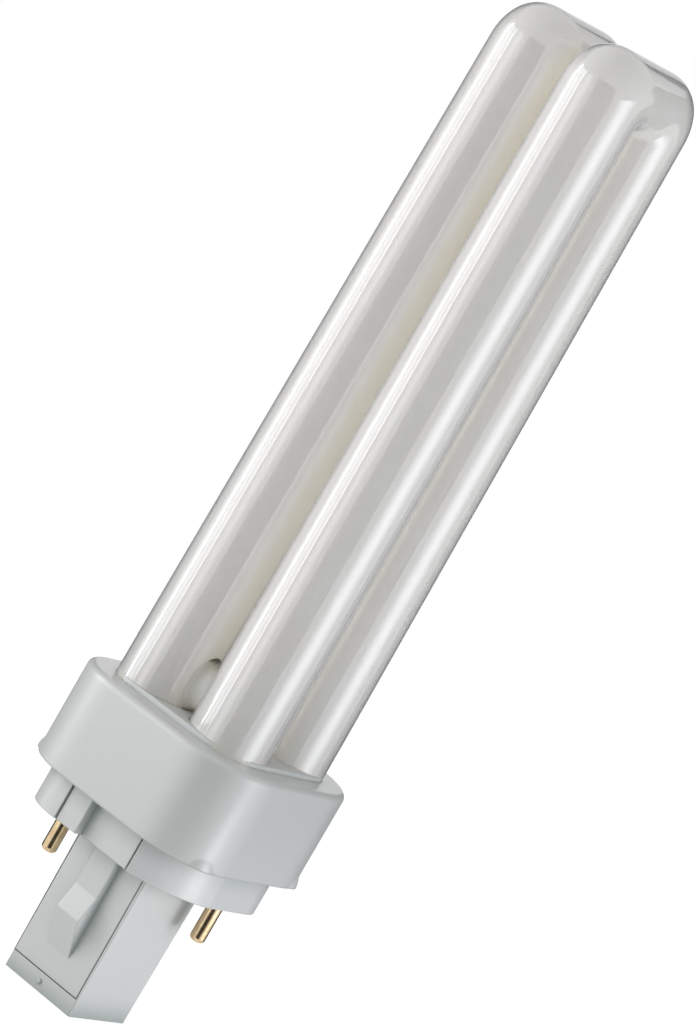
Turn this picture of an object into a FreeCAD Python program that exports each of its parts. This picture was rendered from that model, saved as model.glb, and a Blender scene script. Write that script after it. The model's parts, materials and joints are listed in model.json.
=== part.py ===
# A plug-in fluorescent lamp: two bridged glass U tubes in a square plastic base with two pins.
# Millimetres. +Z runs along the lamp's axis towards the tips of the tubes.
# The origin lies on that axis in the seating plane, the underside of the base's skirt.
# X runs along the side that carries the starter cover, which faces -Y.
import FreeCAD
import Part
import Sketcher
import math
import os

doc = FreeCAD.newDocument("plug_in_lamp")

# Driving dimensions, each with the piece that it belongs to.
SIZES = [
    ("glass_radius", 6.1, "outer radius of each glass leg"),
    ("leg_space", 1.7, "space between neighbouring legs"),
    ("tube_rise", 109.0, "height of the tubes above the holder's side wall"),
    ("bend_height", 10.65, "height of a bend above the end of its straight legs"),
    ("bend_corner", 6.5, "outer corner radius of a bend, seen along the lamp's X axis"),
    ("leg_insert", 6.0, "depth of the straight legs below the holder's top"),
    ("foot_height", 3.4, "height of the tapered, closed foot of a leg"),
    ("foot_radius", 3.2, "radius of the flat end of that foot"),
    ("pinch_height", 4.0, "height of the flattened seal of a leg with a cathode"),
    ("pinch_inset", 0.9, "inset of that seal's sides from the leg's"),
    ("pinch_thickness", 3.2, "thickness of that seal"),
    ("stem_radius", 1.4, "radius of the melted-off pump stem"),
    ("stem_length", 2.4, "length of the pump stem below its leg"),
    ("bridge_radius", 3.9, "radius of the glass bridge at its waist, between the two U tubes"),
    ("bridge_flare", 0.9, "widening of the bridge towards its ends"),
    ("bridge_neck", 0.6, "half the length of the bridge's straight waist"),
    ("bridge_reach", 3.6, "half the length of the bridge"),
    ("bridge_clear", 0.7, "height of the bridge above the hub"),
    ("holder_margin", 4.25, "distance from the legs to the holder's outside"),
    ("holder_corner", 10.0, "corner radius of the tube holder"),
    ("holder_height", 14.8, "height of the holder's side wall"),
    ("holder_wall", 1.3, "wall of the tube holder"),
    ("holder_cap", 1.6, "thickness of the holder's top"),
    ("holder_round", 1.0, "rounding of the holder's top edge"),
    ("hub_margin", 0.4, "rim of the raised hub around the legs"),
    ("hub_height", 0.8, "height of the raised hub"),
    ("leg_gap", 0.12, "gap between a leg and its hole in the holder"),
    ("snap_turn", 24.7, "angle of a snap knob on its corner arc, in degrees"),
    ("snap_radius", 3.4, "radius of the bulge over a snap knob"),
    ("snap_rise", 0.45, "height of that bulge above the wall"),
    ("bond_gap", 0.05, "joint line of pieces that are bonded or melted together"),
    ("cement_depth", 5.2, "depth of the cement that holds the legs"),
    ("skirt_height", 6.2, "height of the skirt below the tube holder"),
    ("pin_margin", 2.3, "radius of the skirt's round corners beyond the pins"),
    ("flat_inset", 0.1, "inset of the skirt's flats from its round corners"),
    ("corner_flat", 1.1, "width of the flat between a pin corner and the cover"),
    ("lobe_step", 0.3, "step from the skirt's flat in to the key lobe"),
    ("lobe_edge", 2.7, "distance of the key lobe's side from the middle"),
    ("recess_depth", 1.6, "depth of the key recess behind the lobe"),
    ("groove_width", 0.3, "width of the groove at the far side of the recess"),
    ("groove_depth", 0.5, "depth of that groove"),
    ("plug_wall", 1.3, "wall of the skirt"),
    ("plug_floor", 1.5, "floor of the skirt"),
    ("flange_height", 2.4, "height of the flange that snaps into the holder"),
    ("flange_gap", 0.1, "gap between that flange and the holder"),
    ("post_width", 14.0, "width of the post at the seating plane"),
    ("post_depth", 13.9, "depth of the post at the seating plane"),
    ("post_length", 23.0, "length of the post below the seating plane"),
    ("post_draft", 0.75, "draft of the post's sides, in degrees"),
    ("post_corner", 0.5, "corner radius of the post"),
    ("post_wall", 1.2, "wall and end of the post"),
    ("rib_width", 4.4, "width of a latch rib"),
    ("rib_shift", 0.2, "distance of a latch rib's middle from the post's middle"),
    ("rib_rise", 1.2, "height of a latch rib's straight stretch"),
    ("rib_straight", 7.0, "length of that stretch"),
    ("rib_nose", 2.5, "height of the latch rib's nose"),
    ("rib_nose_level", 10.8, "depth of the nose below the seating plane"),
    ("rib_end", 16.6, "depth at which the rib runs out"),
    ("pip_radius", 0.4, "radius of the ejector pip near the post's end"),
    ("pip_rise", 0.2, "height of that pip"),
    ("pip_height", 1.3, "height of that pip above the post's end"),
    ("cover_left_inset", 0.5, "inset of the cover's left edge from the post's side"),
    ("cover_right_inset", 0.75, "inset of the cover's right edge"),
    ("cover_foot", 2.7, "height of the cover's lower edge above the post's end"),
    ("cover_gap", 0.15, "gap around the cover"),
    ("pin_spacing", 24.2, "distance between the two contact pins"),
    ("pin_turn", 27.3, "angle of the line through the pins from the X axis, in degrees"),
    ("pin_radius", 1.15, "radius of a contact pin"),
    ("pin_length", 6.8, "length of a contact pin below the seating plane"),
    ("pin_tip_length", 0.7, "length of the pin's rounded tip"),
    ("shank_step", 0.25, "extra radius of the pin's shank in the housing"),
    ("shank_rise", 0.1, "length of the shank that shows below the seating plane"),
    ("head_step", 0.3, "extra radius of the pin's head over its shank"),
    ("head_height", 0.5, "thickness of the pin's head"),
    ("pin_gap", 0.03, "gap between a pin and its hole"),
    ("lead_gap", 0.2, "gap between a lead and the pin's bore"),
    ("pin_end_wall", 0.9, "closed end below the bore"),
    ("boss_wall", 0.77, "wall of the boss around a pin"),
    ("boss_rise", 2.6, "height of a boss above the skirt's floor"),
    ("wire_radius", 0.25, "radius of every lead"),
    ("wire_bend", 0.8, "radius at the middle of a lead's bends"),
    ("seal_pitch", 4.4, "distance between the two leads of one seal"),
    ("starter_space", 1.0, "space between the bottle and the capacitor"),
    ("bottle_wall", 0.6, "wall of the starter bottle"),
    ("bottle_body", 11.0, "length of the bottle up to its press"),
    ("press_height", 3.0, "height of the bottle's pressed end"),
    ("press_width", 5.6, "width of the pressed end"),
    ("press_thickness", 2.2, "thickness of the pressed end"),
    ("starter_gap", 0.1, "gap between the starter's parts and the post"),
    ("starter_pitch", 2.8, "distance between the two legs of the starter"),
    ("short_leg", 3.0, "length of a starter leg inside the bottle above the strip"),
    ("contact_rise", 0.7, "height of the contact leg's tip above the strip's bend"),
    ("strip_thickness", 0.25, "thickness of the bimetal strip"),
    ("strip_width", 1.6, "width of the bimetal strip"),
    ("strip_clear", 1.4, "distance of the strip's bend from the bottle's end"),
    ("strip_turn", 0.45, "inner radius of the strip's bend"),
    ("strip_return", 3.2, "length of the strip's free arm"),
    ("sleeve_wall", 0.28, "wall of a splice sleeve"),
    ("sleeve_gap", 0.09, "gap between the leads and their sleeve"),
    ("sleeve_length", 3.0, "length of a splice sleeve"),
    ("sleeve_top", 0.6, "level of the sleeves' upper ends"),
    ("wire_gap", 0.06, "gap between two leads side by side in a sleeve"),
    ("butt_gap", 0.1, "gap between leads that meet in a sleeve"),
    ("capacitor_thickness", 3.2, "thickness of the capacitor"),
    ("capacitor_side", 1.25, "distance of the capacitor from the post's side walls"),
    ("capacitor_height", 10.5, "height of the capacitor"),
    ("capacitor_corner", 1.0, "rounding of the capacitor"),
    ("route_level", 4.6, "level at which the starter's leads cross the skirt"),
    ("long_route_level", 6.4, "level at which the far pin's lead crosses the skirt"),
]

sheet = doc.addObject("Spreadsheet::Sheet", "Sizes")
for row, (alias, value, meaning) in enumerate(SIZES, start=1):
    sheet.set(f"A{row}", alias)
    sheet.set(f"B{row}", str(value))
    sheet.set(f"C{row}", meaning)
    sheet.setAlias(f"B{row}", alias)
doc.recompute()


def number(expression):
    """Value of an expression over the sheet, as a plain number."""
    return float(sheet.evalExpression(expression))


def bind(item, **expressions):
    """Ties properties to the sheet; a double underscore stands for a dot."""
    for name, expression in expressions.items():
        item.setExpression(name.replace("__", "."), expression)


# Expressions that several pieces share.
LEG = "(Sizes.glass_radius + Sizes.leg_space / 2)"
HOLDER_TOP = "(Sizes.skirt_height + Sizes.holder_height)"
HUB_TOP = f"({HOLDER_TOP} + Sizes.hub_height)"
TUBE_TOP = f"({HOLDER_TOP} + Sizes.tube_rise)"
BEND_FOOT = f"({TUBE_TOP} - Sizes.bend_height)"
CAP_UNDERSIDE = f"({HOLDER_TOP} - Sizes.holder_cap)"
LEG_FOOT = f"({CAP_UNDERSIDE} - Sizes.leg_insert)"
SEAL_FOOT = f"({LEG_FOOT} - Sizes.pinch_height)"
HOLDER_HALF = f"({LEG} + Sizes.glass_radius + Sizes.holder_margin)"
HOLDER_INSIDE = f"({HOLDER_HALF} - Sizes.holder_wall)"
HOLDER_INSIDE_CORNER = "(Sizes.holder_corner - Sizes.holder_wall)"
FLANGE_TOP = "(Sizes.skirt_height + Sizes.flange_height)"
POST_X = "(Sizes.post_width / 2)"
POST_Y = "(Sizes.post_depth / 2)"
POST_INSIDE_X = f"({POST_X} - Sizes.post_wall)"
POST_INSIDE_Y = f"({POST_Y} - Sizes.post_wall)"
POST_BOTTOM = "(Sizes.post_wall - Sizes.post_length)"
PIP_LEVEL = "(Sizes.pip_height - Sizes.post_length)"
COVER_LEFT = f"({POST_X} - Sizes.cover_left_inset)"
COVER_RIGHT = f"({POST_X} - Sizes.cover_right_inset)"
COVER_END = "(Sizes.post_length - Sizes.cover_foot)"
SKIRT_RADIUS = "(Sizes.pin_spacing / 2 + Sizes.pin_margin)"
SKIRT_HALF = f"({SKIRT_RADIUS} - Sizes.flat_inset)"
SKIRT_CORNER = f"({SKIRT_HALF} - {COVER_LEFT} - Sizes.corner_flat)"
LOBE_FACE = f"({SKIRT_HALF} - Sizes.lobe_step)"
RECESS_FACE = f"({LOBE_FACE} - Sizes.recess_depth)"
RECESS_END = f"({COVER_RIGHT} + Sizes.cover_gap)"
CAVITY_RADIUS = f"({SKIRT_RADIUS} - Sizes.plug_wall)"
CAVITY_FLAT = f"({RECESS_FACE} - Sizes.plug_wall)"
PIN_X = "(Sizes.pin_spacing / 2 * cos(Sizes.pin_turn))"
PIN_Y = "(Sizes.pin_spacing / 2 * sin(Sizes.pin_turn))"
SHANK_RADIUS = "(Sizes.pin_radius + Sizes.shank_step)"
HEAD_RADIUS = f"({SHANK_RADIUS} + Sizes.head_step)"
BOSS_TOP = "(Sizes.plug_floor + Sizes.boss_rise)"
HEAD_TOP = f"({BOSS_TOP} + Sizes.head_height)"
STARTER_ROOM = f"(2 * {POST_INSIDE_X} - 2 * Sizes.starter_gap - Sizes.starter_space)"
BOTTLE_RADIUS = f"(({STARTER_ROOM} - Sizes.capacitor_thickness) / 2)"
BOTTLE_X = f"({BOTTLE_RADIUS} + Sizes.starter_gap - {POST_INSIDE_X})"
BOTTLE_FOOT = f"({POST_BOTTOM} + Sizes.starter_gap)"
PRESS_FOOT = f"({BOTTLE_FOOT} + Sizes.bottle_body)"
PRESS_TOP = f"({PRESS_FOOT} + Sizes.press_height)"
BOTTLE_ROOF = f"({PRESS_FOOT} - Sizes.press_thickness - Sizes.bottle_wall)"
STRIP_DROP = f"({BOTTLE_ROOF} - {BOTTLE_FOOT} - Sizes.bottle_wall - Sizes.strip_clear)"
WIRE_PITCH = "(2 * Sizes.wire_radius + Sizes.wire_gap)"
SLEEVE_BORE = f"(({WIRE_PITCH}) / 2 + Sizes.wire_radius + Sizes.sleeve_gap)"
SLEEVE_X = f"({BOTTLE_X} + {WIRE_PITCH} / 2)"
SLEEVE_FOOT = "(Sizes.sleeve_top - Sizes.sleeve_length)"
SLEEVE_MIDDLE = "(Sizes.sleeve_top - Sizes.sleeve_length / 2)"
CAPACITOR_X = f"({POST_INSIDE_X} - Sizes.starter_gap - Sizes.capacitor_thickness / 2)"
CAPACITOR_TOP = f"({BOTTLE_FOOT} + Sizes.capacitor_height)"

# Signs of X and Y at the four legs, and at the four corners of the holder.
CORNERS = [(1, 1), (-1, 1), (-1, -1), (1, -1)]


def new_body(label):
    """Body for one moulded, turned or pressed piece."""
    body = doc.addObject("PartDesign::Body", label)
    body.Label = label
    return body


def new_sketch(body, name, role, level=None):
    """Sketch on one of the body's own origin planes, moved along its normal."""
    sketch = body.newObject("Sketcher::SketchObject", name)
    plane = next(item for item in body.Origin.OriginFeatures if item.Role == role)
    sketch.AttachmentSupport = [(plane, "")]
    sketch.MapMode = "FlatFace"
    if level is not None:
        sketch.setExpression("AttachmentOffset.Base.z", level)
    return sketch


def draw_loop(sketch, corners):
    """Closed outline through corners of (x, y, arc), each an expression over the sheet.

    arc is None for a straight edge to the next corner, or the pair (radius, side),
    where side is 1 for an arc whose centre lies to the left of the way to the next corner.
    """
    places = [FreeCAD.Vector(number(x), number(y), 0) for x, y, arc in corners]
    first = sketch.GeometryCount
    for index, (x, y, arc) in enumerate(corners):
        start = places[index]
        end = places[(index + 1) % len(corners)]
        if arc is None:
            sketch.addGeometry(Part.LineSegment(start, end), False)
            continue
        radius, side = number(arc[0]), arc[1]
        chord = end - start
        half = chord.Length / 2
        normal = FreeCAD.Vector(-chord.y, chord.x, 0).normalize() * side
        centre = (start + end) / 2 + normal * math.sqrt(radius ** 2 - half ** 2)
        middle = centre - normal * radius
        sketch.addGeometry(Part.Arc(start, middle, end), False)
    for index, (x, y, arc) in enumerate(corners):
        item = first + index
        following = first + (index + 1) % len(corners)
        # An arc that turns clockwise is stored from its end to its start.
        head, tail = (1, 2) if arc is None or arc[1] > 0 else (2, 1)
        next_arc = corners[(index + 1) % len(corners)][2]
        next_head = 1 if next_arc is None or next_arc[1] > 0 else 2
        sketch.addConstraint(Sketcher.Constraint("Coincident", item, tail, following, next_head))
        for kind, expression in (("DistanceX", x), ("DistanceY", y)):
            fixed = Sketcher.Constraint(kind, -1, 1, item, head, number(expression))
            sketch.setExpression(f"Constraints[{sketch.addConstraint(fixed)}]", expression)
        if arc is not None:
            size = Sketcher.Constraint("Radius", item, number(arc[0]))
            sketch.setExpression(f"Constraints[{sketch.addConstraint(size)}]", arc[0])


def draw_circle(sketch, x, y, radius):
    """Circle whose centre and radius are expressions over the sheet."""
    centre = FreeCAD.Vector(number(x), number(y), 0)
    circle = Part.Circle(centre, FreeCAD.Vector(0, 0, 1), number(radius))
    item = sketch.addGeometry(circle, False)
    for kind, expression in (("DistanceX", x), ("DistanceY", y)):
        fixed = Sketcher.Constraint(kind, -1, 1, item, 3, number(expression))
        sketch.setExpression(f"Constraints[{sketch.addConstraint(fixed)}]", expression)
    size = Sketcher.Constraint("Radius", item, number(radius))
    sketch.setExpression(f"Constraints[{sketch.addConstraint(size)}]", radius)


def rounded_rectangle(half_x, half_y, corner):
    """Corners of a centred rectangle with round corners, counterclockwise."""
    near_x = f"({half_x}) - ({corner})"
    near_y = f"({half_y}) - ({corner})"
    turn = (corner, 1)
    return [
        (near_x, f"-({half_y})", turn),
        (half_x, f"-({near_y})", None),
        (half_x, near_y, turn),
        (near_x, half_y, None),
        (f"-({near_x})", half_y, turn),
        (f"-({half_x})", near_y, None),
        (f"-({half_x})", f"-({near_y})", turn),
        (f"-({near_x})", f"-({half_y})", None),
    ]


def pad(body, sketch, length, name, downwards=False, both_ways=False):
    """Material added to a sketch, along its normal unless downwards."""
    feature = body.newObject("PartDesign::Pad", name)
    feature.Profile = sketch
    feature.Reversed = downwards
    feature.Midplane = both_ways
    bind(feature, Length=length)
    return feature


def pocket(body, sketch, length, name, upwards=False):
    """Material cut from a sketch, against its normal unless upwards; it must remove some."""
    doc.recompute()
    before = body.Shape.Volume
    feature = body.newObject("PartDesign::Pocket", name)
    feature.Profile = sketch
    feature.Reversed = upwards
    bind(feature, Length=length)
    doc.recompute()
    if not feature.Shape.Volume < before:
        raise ValueError(f"{name} removes nothing")
    return feature


def revolve(body, sketch, name, axis="V_Axis"):
    """Full turn of a sketch about one of its own axes."""
    feature = body.newObject("PartDesign::Revolution", name)
    feature.Profile = sketch
    feature.ReferenceAxis = (sketch, [axis])
    feature.Angle = 360
    return feature


def edges_at_level(shape, level):
    """Names of a shape's edges that lie whole in one horizontal plane."""
    near = 1e-4
    names = []
    for index, edge in enumerate(shape.Edges, start=1):
        box = edge.BoundBox
        if abs(box.ZMin - level) < near and abs(box.ZMax - level) < near:
            names.append(f"Edge{index}")
    return names


def round_edges(body, feature, names, radius, name):
    """Fillet on named edges of the body's last feature."""
    fillet = body.newObject("PartDesign::Fillet", name)
    fillet.Base = (feature, names)
    bind(fillet, Radius=radius)
    return fillet


# The glass discharge tube, one sealed piece.

def bend_reach(out_y, out_z):
    """Distance of a bend's outer edge from the line that its sections fan about.

    The edge follows a rectangle with round corners, met along the direction (out_y, out_z).
    """
    height = number("Sizes.bend_height")
    corner = number("Sizes.bend_corner")
    reach = number(f"{LEG} + Sizes.glass_radius")
    centre_y, centre_z = reach - corner, height - corner
    if out_z * reach <= out_y * centre_z:
        return reach / out_y
    if out_y * height <= out_z * centre_y:
        return height / out_z
    along = out_y * centre_y + out_z * centre_z
    beyond = centre_y ** 2 + centre_z ** 2 - corner ** 2
    return along + math.sqrt(along ** 2 - beyond)


def bend_section(side, turn):
    """Ellipse across a bend, in the plane that holds the X axis and leans by turn degrees.

    Its inner edge keeps half the gap between the legs from the line that the planes share,
    and its width along X stays that of the leg, so the bend flattens towards its crown.
    """
    radius = number("Sizes.glass_radius")
    half = number(LEG)
    out_y, out_z = math.cos(math.radians(turn)), math.sin(math.radians(turn))
    outer = bend_reach(abs(out_y), out_z)
    inner = half - radius
    middle = (outer + inner) / 2
    circle = Part.Circle(FreeCAD.Vector(0, 0, 0), FreeCAD.Vector(0, 0, 1), radius).toShape()
    flatten = FreeCAD.Matrix()
    flatten.A22 = (outer - inner) / 2 / radius
    oval = circle.transformGeometry(flatten)
    oval.rotate(FreeCAD.Vector(0, 0, 0), FreeCAD.Vector(1, 0, 0), -turn)
    oval.translate(FreeCAD.Vector(side * half, -out_y * middle, number(BEND_FOOT) + out_z * middle))
    return Part.Wire(oval.Edges)


def bend_shape(side):
    """Bend over two legs: one half lofted a step past the crown, cut there and mirrored."""
    step = 15
    turns = range(0, 90 + 2 * step, step)
    half = Part.makeLoft([bend_section(side, turn) for turn in turns], True, False)
    room = number(TUBE_TOP)
    keep = Part.makeBox(2 * room, room, room, FreeCAD.Vector(-room, -room, room / 2))
    half = half.common(keep)
    other = half.mirror(FreeCAD.Vector(0, 0, 0), FreeCAD.Vector(0, 1, 0))
    return half.fuse(other)


def build_bridge():
    """Short tube of glass between the two front legs, narrow in the middle."""
    body = new_body("bridge")
    outer = "(Sizes.bridge_radius + Sizes.bridge_flare)"
    profile = new_sketch(body, "bridge_profile", "XY_Plane")
    draw_loop(profile, [
        ("-Sizes.bridge_reach", "0", None),
        ("Sizes.bridge_reach", "0", None),
        ("Sizes.bridge_reach", outer, None),
        ("Sizes.bridge_neck", "Sizes.bridge_radius", None),
        ("-Sizes.bridge_neck", "Sizes.bridge_radius", None),
        ("-Sizes.bridge_reach", outer, None),
    ])
    revolve(body, profile, "bridge_glass", "H_Axis")
    bind(body, Placement__Base__y=f"-{LEG}",
         Placement__Base__z=f"{HUB_TOP} + Sizes.bridge_clear + Sizes.bridge_radius")
    return body


def build_leg(x_sign, y_sign, name):
    """Straight stretch of one leg and its tapered, closed foot."""
    leg = doc.addObject("Part::Cylinder", f"{name}_leg")
    foot = doc.addObject("Part::Cone", f"{name}_foot")
    bind(leg, Radius="Sizes.glass_radius", Height=f"{BEND_FOOT} - {LEG_FOOT}",
         Placement__Base__z=LEG_FOOT)
    bind(foot, Radius1="Sizes.foot_radius", Radius2="Sizes.glass_radius",
         Height="Sizes.foot_height", Placement__Base__z=f"{LEG_FOOT} - Sizes.foot_height")
    for item in (leg, foot):
        bind(item, Placement__Base__x=f"{x_sign} * {LEG}", Placement__Base__y=f"{y_sign} * {LEG}")
    return [leg, foot]


def build_press_seal(x_sign, name):
    """Flat press that seals the foot of a leg with a cathode."""
    seal = doc.addObject("Part::Box", f"{name}_press_seal")
    half = "(Sizes.glass_radius - Sizes.pinch_inset)"
    bind(seal, Length=f"2 * {half}", Width="Sizes.pinch_thickness", Height="Sizes.pinch_height",
         Placement__Base__x=f"{x_sign} * {LEG} - {half}",
         Placement__Base__y=f"{LEG} - Sizes.pinch_thickness / 2", Placement__Base__z=SEAL_FOOT)
    return seal


def build_pump_stem():
    """Melted-off stem under the foot of the left front leg."""
    stem = doc.addObject("Part::Cylinder", "pump_stem")
    bind(stem, Radius="Sizes.stem_radius", Height="Sizes.stem_length + Sizes.foot_height",
         Placement__Base__x=f"-{LEG}", Placement__Base__y=f"-{LEG}",
         Placement__Base__z=f"{LEG_FOOT} - Sizes.foot_height - Sizes.stem_length")
    return stem


def build_discharge_tube():
    """Two U tubes and the bridge between them, with four closed feet and the pump stem."""
    pieces = [build_bridge(), build_pump_stem()]
    for x_sign, name in ((-1, "left"), (1, "right")):
        bend = doc.addObject("Part::Feature", f"{name}_bend")
        bend.Shape = bend_shape(x_sign)
        pieces.append(bend)
        pieces += build_leg(x_sign, -1, f"{name}_front")
        pieces += build_leg(x_sign, 1, f"{name}_rear")
        pieces.append(build_press_seal(x_sign, name))
    glass = doc.addObject("Part::MultiFuse", "discharge_tube")
    glass.Shapes = pieces
    glass.Label = glass.Name
    return glass


# The tube holder, a square plastic cap with four holes for the legs.

def build_tube_holder():
    body = new_body("tube_holder")
    outline = new_sketch(body, "holder_outline", "XY_Plane", "Sizes.skirt_height")
    draw_loop(outline, rounded_rectangle(HOLDER_HALF, HOLDER_HALF, "Sizes.holder_corner"))
    block = pad(body, outline, "Sizes.holder_height", "holder_block")
    doc.recompute()
    top_edges = edges_at_level(block.Shape, number(HOLDER_TOP))
    round_edges(body, block, top_edges, "Sizes.holder_round", "holder_top_edge")
    hub_half = f"{LEG} + Sizes.glass_radius + Sizes.hub_margin"
    hub = new_sketch(body, "hub_outline", "XY_Plane", HOLDER_TOP)
    draw_loop(hub, rounded_rectangle(hub_half, hub_half, "Sizes.glass_radius + Sizes.hub_margin"))
    pad(body, hub, "Sizes.hub_height", "hub")
    for index, (x_sign, y_sign) in enumerate(CORNERS):
        ball(body, "PartDesign::AdditiveSphere", f"snap_bulge_{index}", x_sign, y_sign,
             "Sizes.snap_radius")
    cavity = new_sketch(body, "holder_inside", "XY_Plane", "Sizes.skirt_height")
    draw_loop(cavity, rounded_rectangle(HOLDER_INSIDE, HOLDER_INSIDE, HOLDER_INSIDE_CORNER))
    pocket(body, cavity, "Sizes.holder_height - Sizes.holder_cap", "holder_cavity", upwards=True)
    for index, (x_sign, y_sign) in enumerate(CORNERS):
        ball(body, "PartDesign::SubtractiveSphere", f"snap_dimple_{index}", x_sign, y_sign,
             "Sizes.snap_radius - Sizes.holder_wall")
    holes = new_sketch(body, "leg_holes", "XY_Plane", HUB_TOP)
    draw_leg_circles(holes, "Sizes.glass_radius + Sizes.leg_gap")
    pocket(body, holes, "Sizes.hub_height + Sizes.holder_cap", "leg_passages")
    return body


def ball(body, kind, name, x_sign, y_sign, radius):
    """Upper half of a ball on a corner arc of the holder, at the level of its lower edge."""
    inset = "Sizes.snap_radius - Sizes.snap_rise"
    base = f"{HOLDER_HALF} - Sizes.holder_corner"
    reach = f"(Sizes.holder_corner - ({inset}))"
    feature = body.newObject(kind, name)
    feature.Angle1, feature.Angle2, feature.Angle3 = 0, 90, 360
    bind(feature, Radius=radius,
         Placement__Base__x=f"{x_sign} * ({base} + {reach} * cos(Sizes.snap_turn))",
         Placement__Base__y=f"{y_sign} * ({base} + {reach} * sin(Sizes.snap_turn))",
         Placement__Base__z="Sizes.skirt_height")
    return feature


def draw_leg_circles(sketch, radius):
    """One circle around each of the four legs."""
    for x_sign, y_sign in CORNERS:
        draw_circle(sketch, f"{x_sign} * {LEG}", f"{y_sign} * {LEG}", radius)


# The cement poured into the holder around the legs.

def build_seating_cement():
    body = new_body("seating_cement")
    half = f"{HOLDER_INSIDE} - Sizes.bond_gap"
    foot = f"{CAP_UNDERSIDE} - Sizes.cement_depth"
    outline = new_sketch(body, "cement_outline", "XY_Plane", foot)
    draw_loop(outline, rounded_rectangle(half, half, f"{HOLDER_INSIDE_CORNER} - Sizes.bond_gap"))
    pad(body, outline, "Sizes.cement_depth", "cement_block")
    holes = new_sketch(body, "cement_holes", "XY_Plane", CAP_UNDERSIDE)
    draw_leg_circles(holes, "Sizes.glass_radius + Sizes.bond_gap")
    pocket(body, holes, "Sizes.cement_depth", "cement_passages")
    return body


# The plug: keyed skirt, flange and hollow post, moulded with two latch ribs.

def half_skirt(sign):
    """Half of the skirt's outline, from a pin corner's flank to the next round corner."""
    side = str(sign)
    merge = f"sqrt({SKIRT_RADIUS} ^ 2 - {SKIRT_HALF} ^ 2)"
    near = f"({SKIRT_HALF} - {SKIRT_CORNER})"
    groove_far = f"({RECESS_END} + Sizes.groove_width)"
    groove_mouth = f"sqrt({SKIRT_RADIUS} ^ 2 - {groove_far} ^ 2)"
    groove_bottom = f"({RECESS_FACE} - Sizes.groove_depth)"
    plan = [
        (f"-{SKIRT_HALF}", merge, None),
        (f"-{SKIRT_HALF}", f"-{near}", (SKIRT_CORNER, 1)),
        (f"-{near}", f"-{SKIRT_HALF}", None),
        (f"-{COVER_LEFT}", f"-{SKIRT_HALF}", None),
        (f"-{COVER_LEFT}", f"-{LOBE_FACE}", None),
        ("-Sizes.lobe_edge", f"-{LOBE_FACE}", None),
        ("-Sizes.lobe_edge", f"-{RECESS_FACE}", None),
        (RECESS_END, f"-{RECESS_FACE}", None),
        (RECESS_END, f"-{groove_bottom}", None),
        (groove_far, f"-{groove_bottom}", None),
        (groove_far, f"-{groove_mouth}", (SKIRT_RADIUS, 1)),
    ]
    return [(f"{side} * ({x})", f"{side} * ({y})", arc) for x, y, arc in plan]


def build_plug_form():
    """The whole plug before its starter cover is parted from it."""
    body = new_body("plug_form")
    outline = new_sketch(body, "skirt_outline", "XY_Plane")
    draw_loop(outline, half_skirt(1) + half_skirt(-1))
    pad(body, outline, "Sizes.skirt_height", "skirt")
    flange = new_sketch(body, "flange_outline", "XY_Plane", "Sizes.skirt_height")
    flange_half = f"{HOLDER_INSIDE} - Sizes.flange_gap"
    draw_loop(flange, rounded_rectangle(flange_half, flange_half,
                                        f"{HOLDER_INSIDE_CORNER} - Sizes.flange_gap"))
    pad(body, flange, "Sizes.flange_height", "flange")
    for index, (x_sign, y_sign) in enumerate(CORNERS):
        ball(body, "PartDesign::AdditiveSphere", f"snap_knob_{index}", x_sign, y_sign,
             "Sizes.snap_radius - Sizes.holder_wall - Sizes.flange_gap")
    post = new_sketch(body, "post_outline", "XY_Plane")
    draw_loop(post, rounded_rectangle(POST_X, POST_Y, "Sizes.post_corner"))
    column = pad(body, post, "Sizes.post_length", "post", downwards=True)
    bind(column, TaperAngle="-Sizes.post_draft")
    add_latch_ribs(body)
    cavity = new_sketch(body, "skirt_inside", "XY_Plane", FLANGE_TOP)
    draw_loop(cavity, round_with_flats(CAVITY_RADIUS, CAVITY_FLAT))
    pocket(body, cavity, f"{FLANGE_TOP} - Sizes.plug_floor", "skirt_cavity")
    bosses = new_sketch(body, "boss_outlines", "XY_Plane", "Sizes.plug_floor")
    draw_pin_circles(bosses, f"{SHANK_RADIUS} + Sizes.pin_gap + Sizes.boss_wall")
    pad(body, bosses, "Sizes.boss_rise", "pin_bosses")
    heads = new_sketch(body, "head_outlines", "XY_Plane", FLANGE_TOP)
    draw_pin_circles(heads, f"{HEAD_RADIUS} + Sizes.pin_gap")
    pocket(body, heads, f"{FLANGE_TOP} - {BOSS_TOP}", "head_recesses")
    inside = new_sketch(body, "post_inside", "XY_Plane", "Sizes.plug_floor")
    draw_loop(inside, rounded_rectangle(POST_INSIDE_X, POST_INSIDE_Y, "Sizes.post_corner"))
    pocket(body, inside, f"Sizes.plug_floor - {POST_BOTTOM}", "post_cavity")
    bores = new_sketch(body, "pin_bores", "XY_Plane", BOSS_TOP)
    draw_pin_circles(bores, f"{SHANK_RADIUS} + Sizes.pin_gap")
    pocket(body, bores, BOSS_TOP, "pin_passages")
    return body


def draw_pin_circles(sketch, radius):
    """One circle around each of the two pins."""
    for sign in (1, -1):
        draw_circle(sketch, f"{sign} * {PIN_X}", f"{sign} * {PIN_Y}", radius)


def round_with_flats(radius, flat):
    """Corners of a circle cut off by two flats that face +Y and -Y, counterclockwise."""
    side = f"sqrt(({radius}) ^ 2 - ({flat}) ^ 2)"
    return [
        (side, f"-({flat})", (radius, 1)),
        (side, flat, None),
        (f"-{side}", flat, (radius, 1)),
        (f"-{side}", f"-({flat})", None),
    ]


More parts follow.
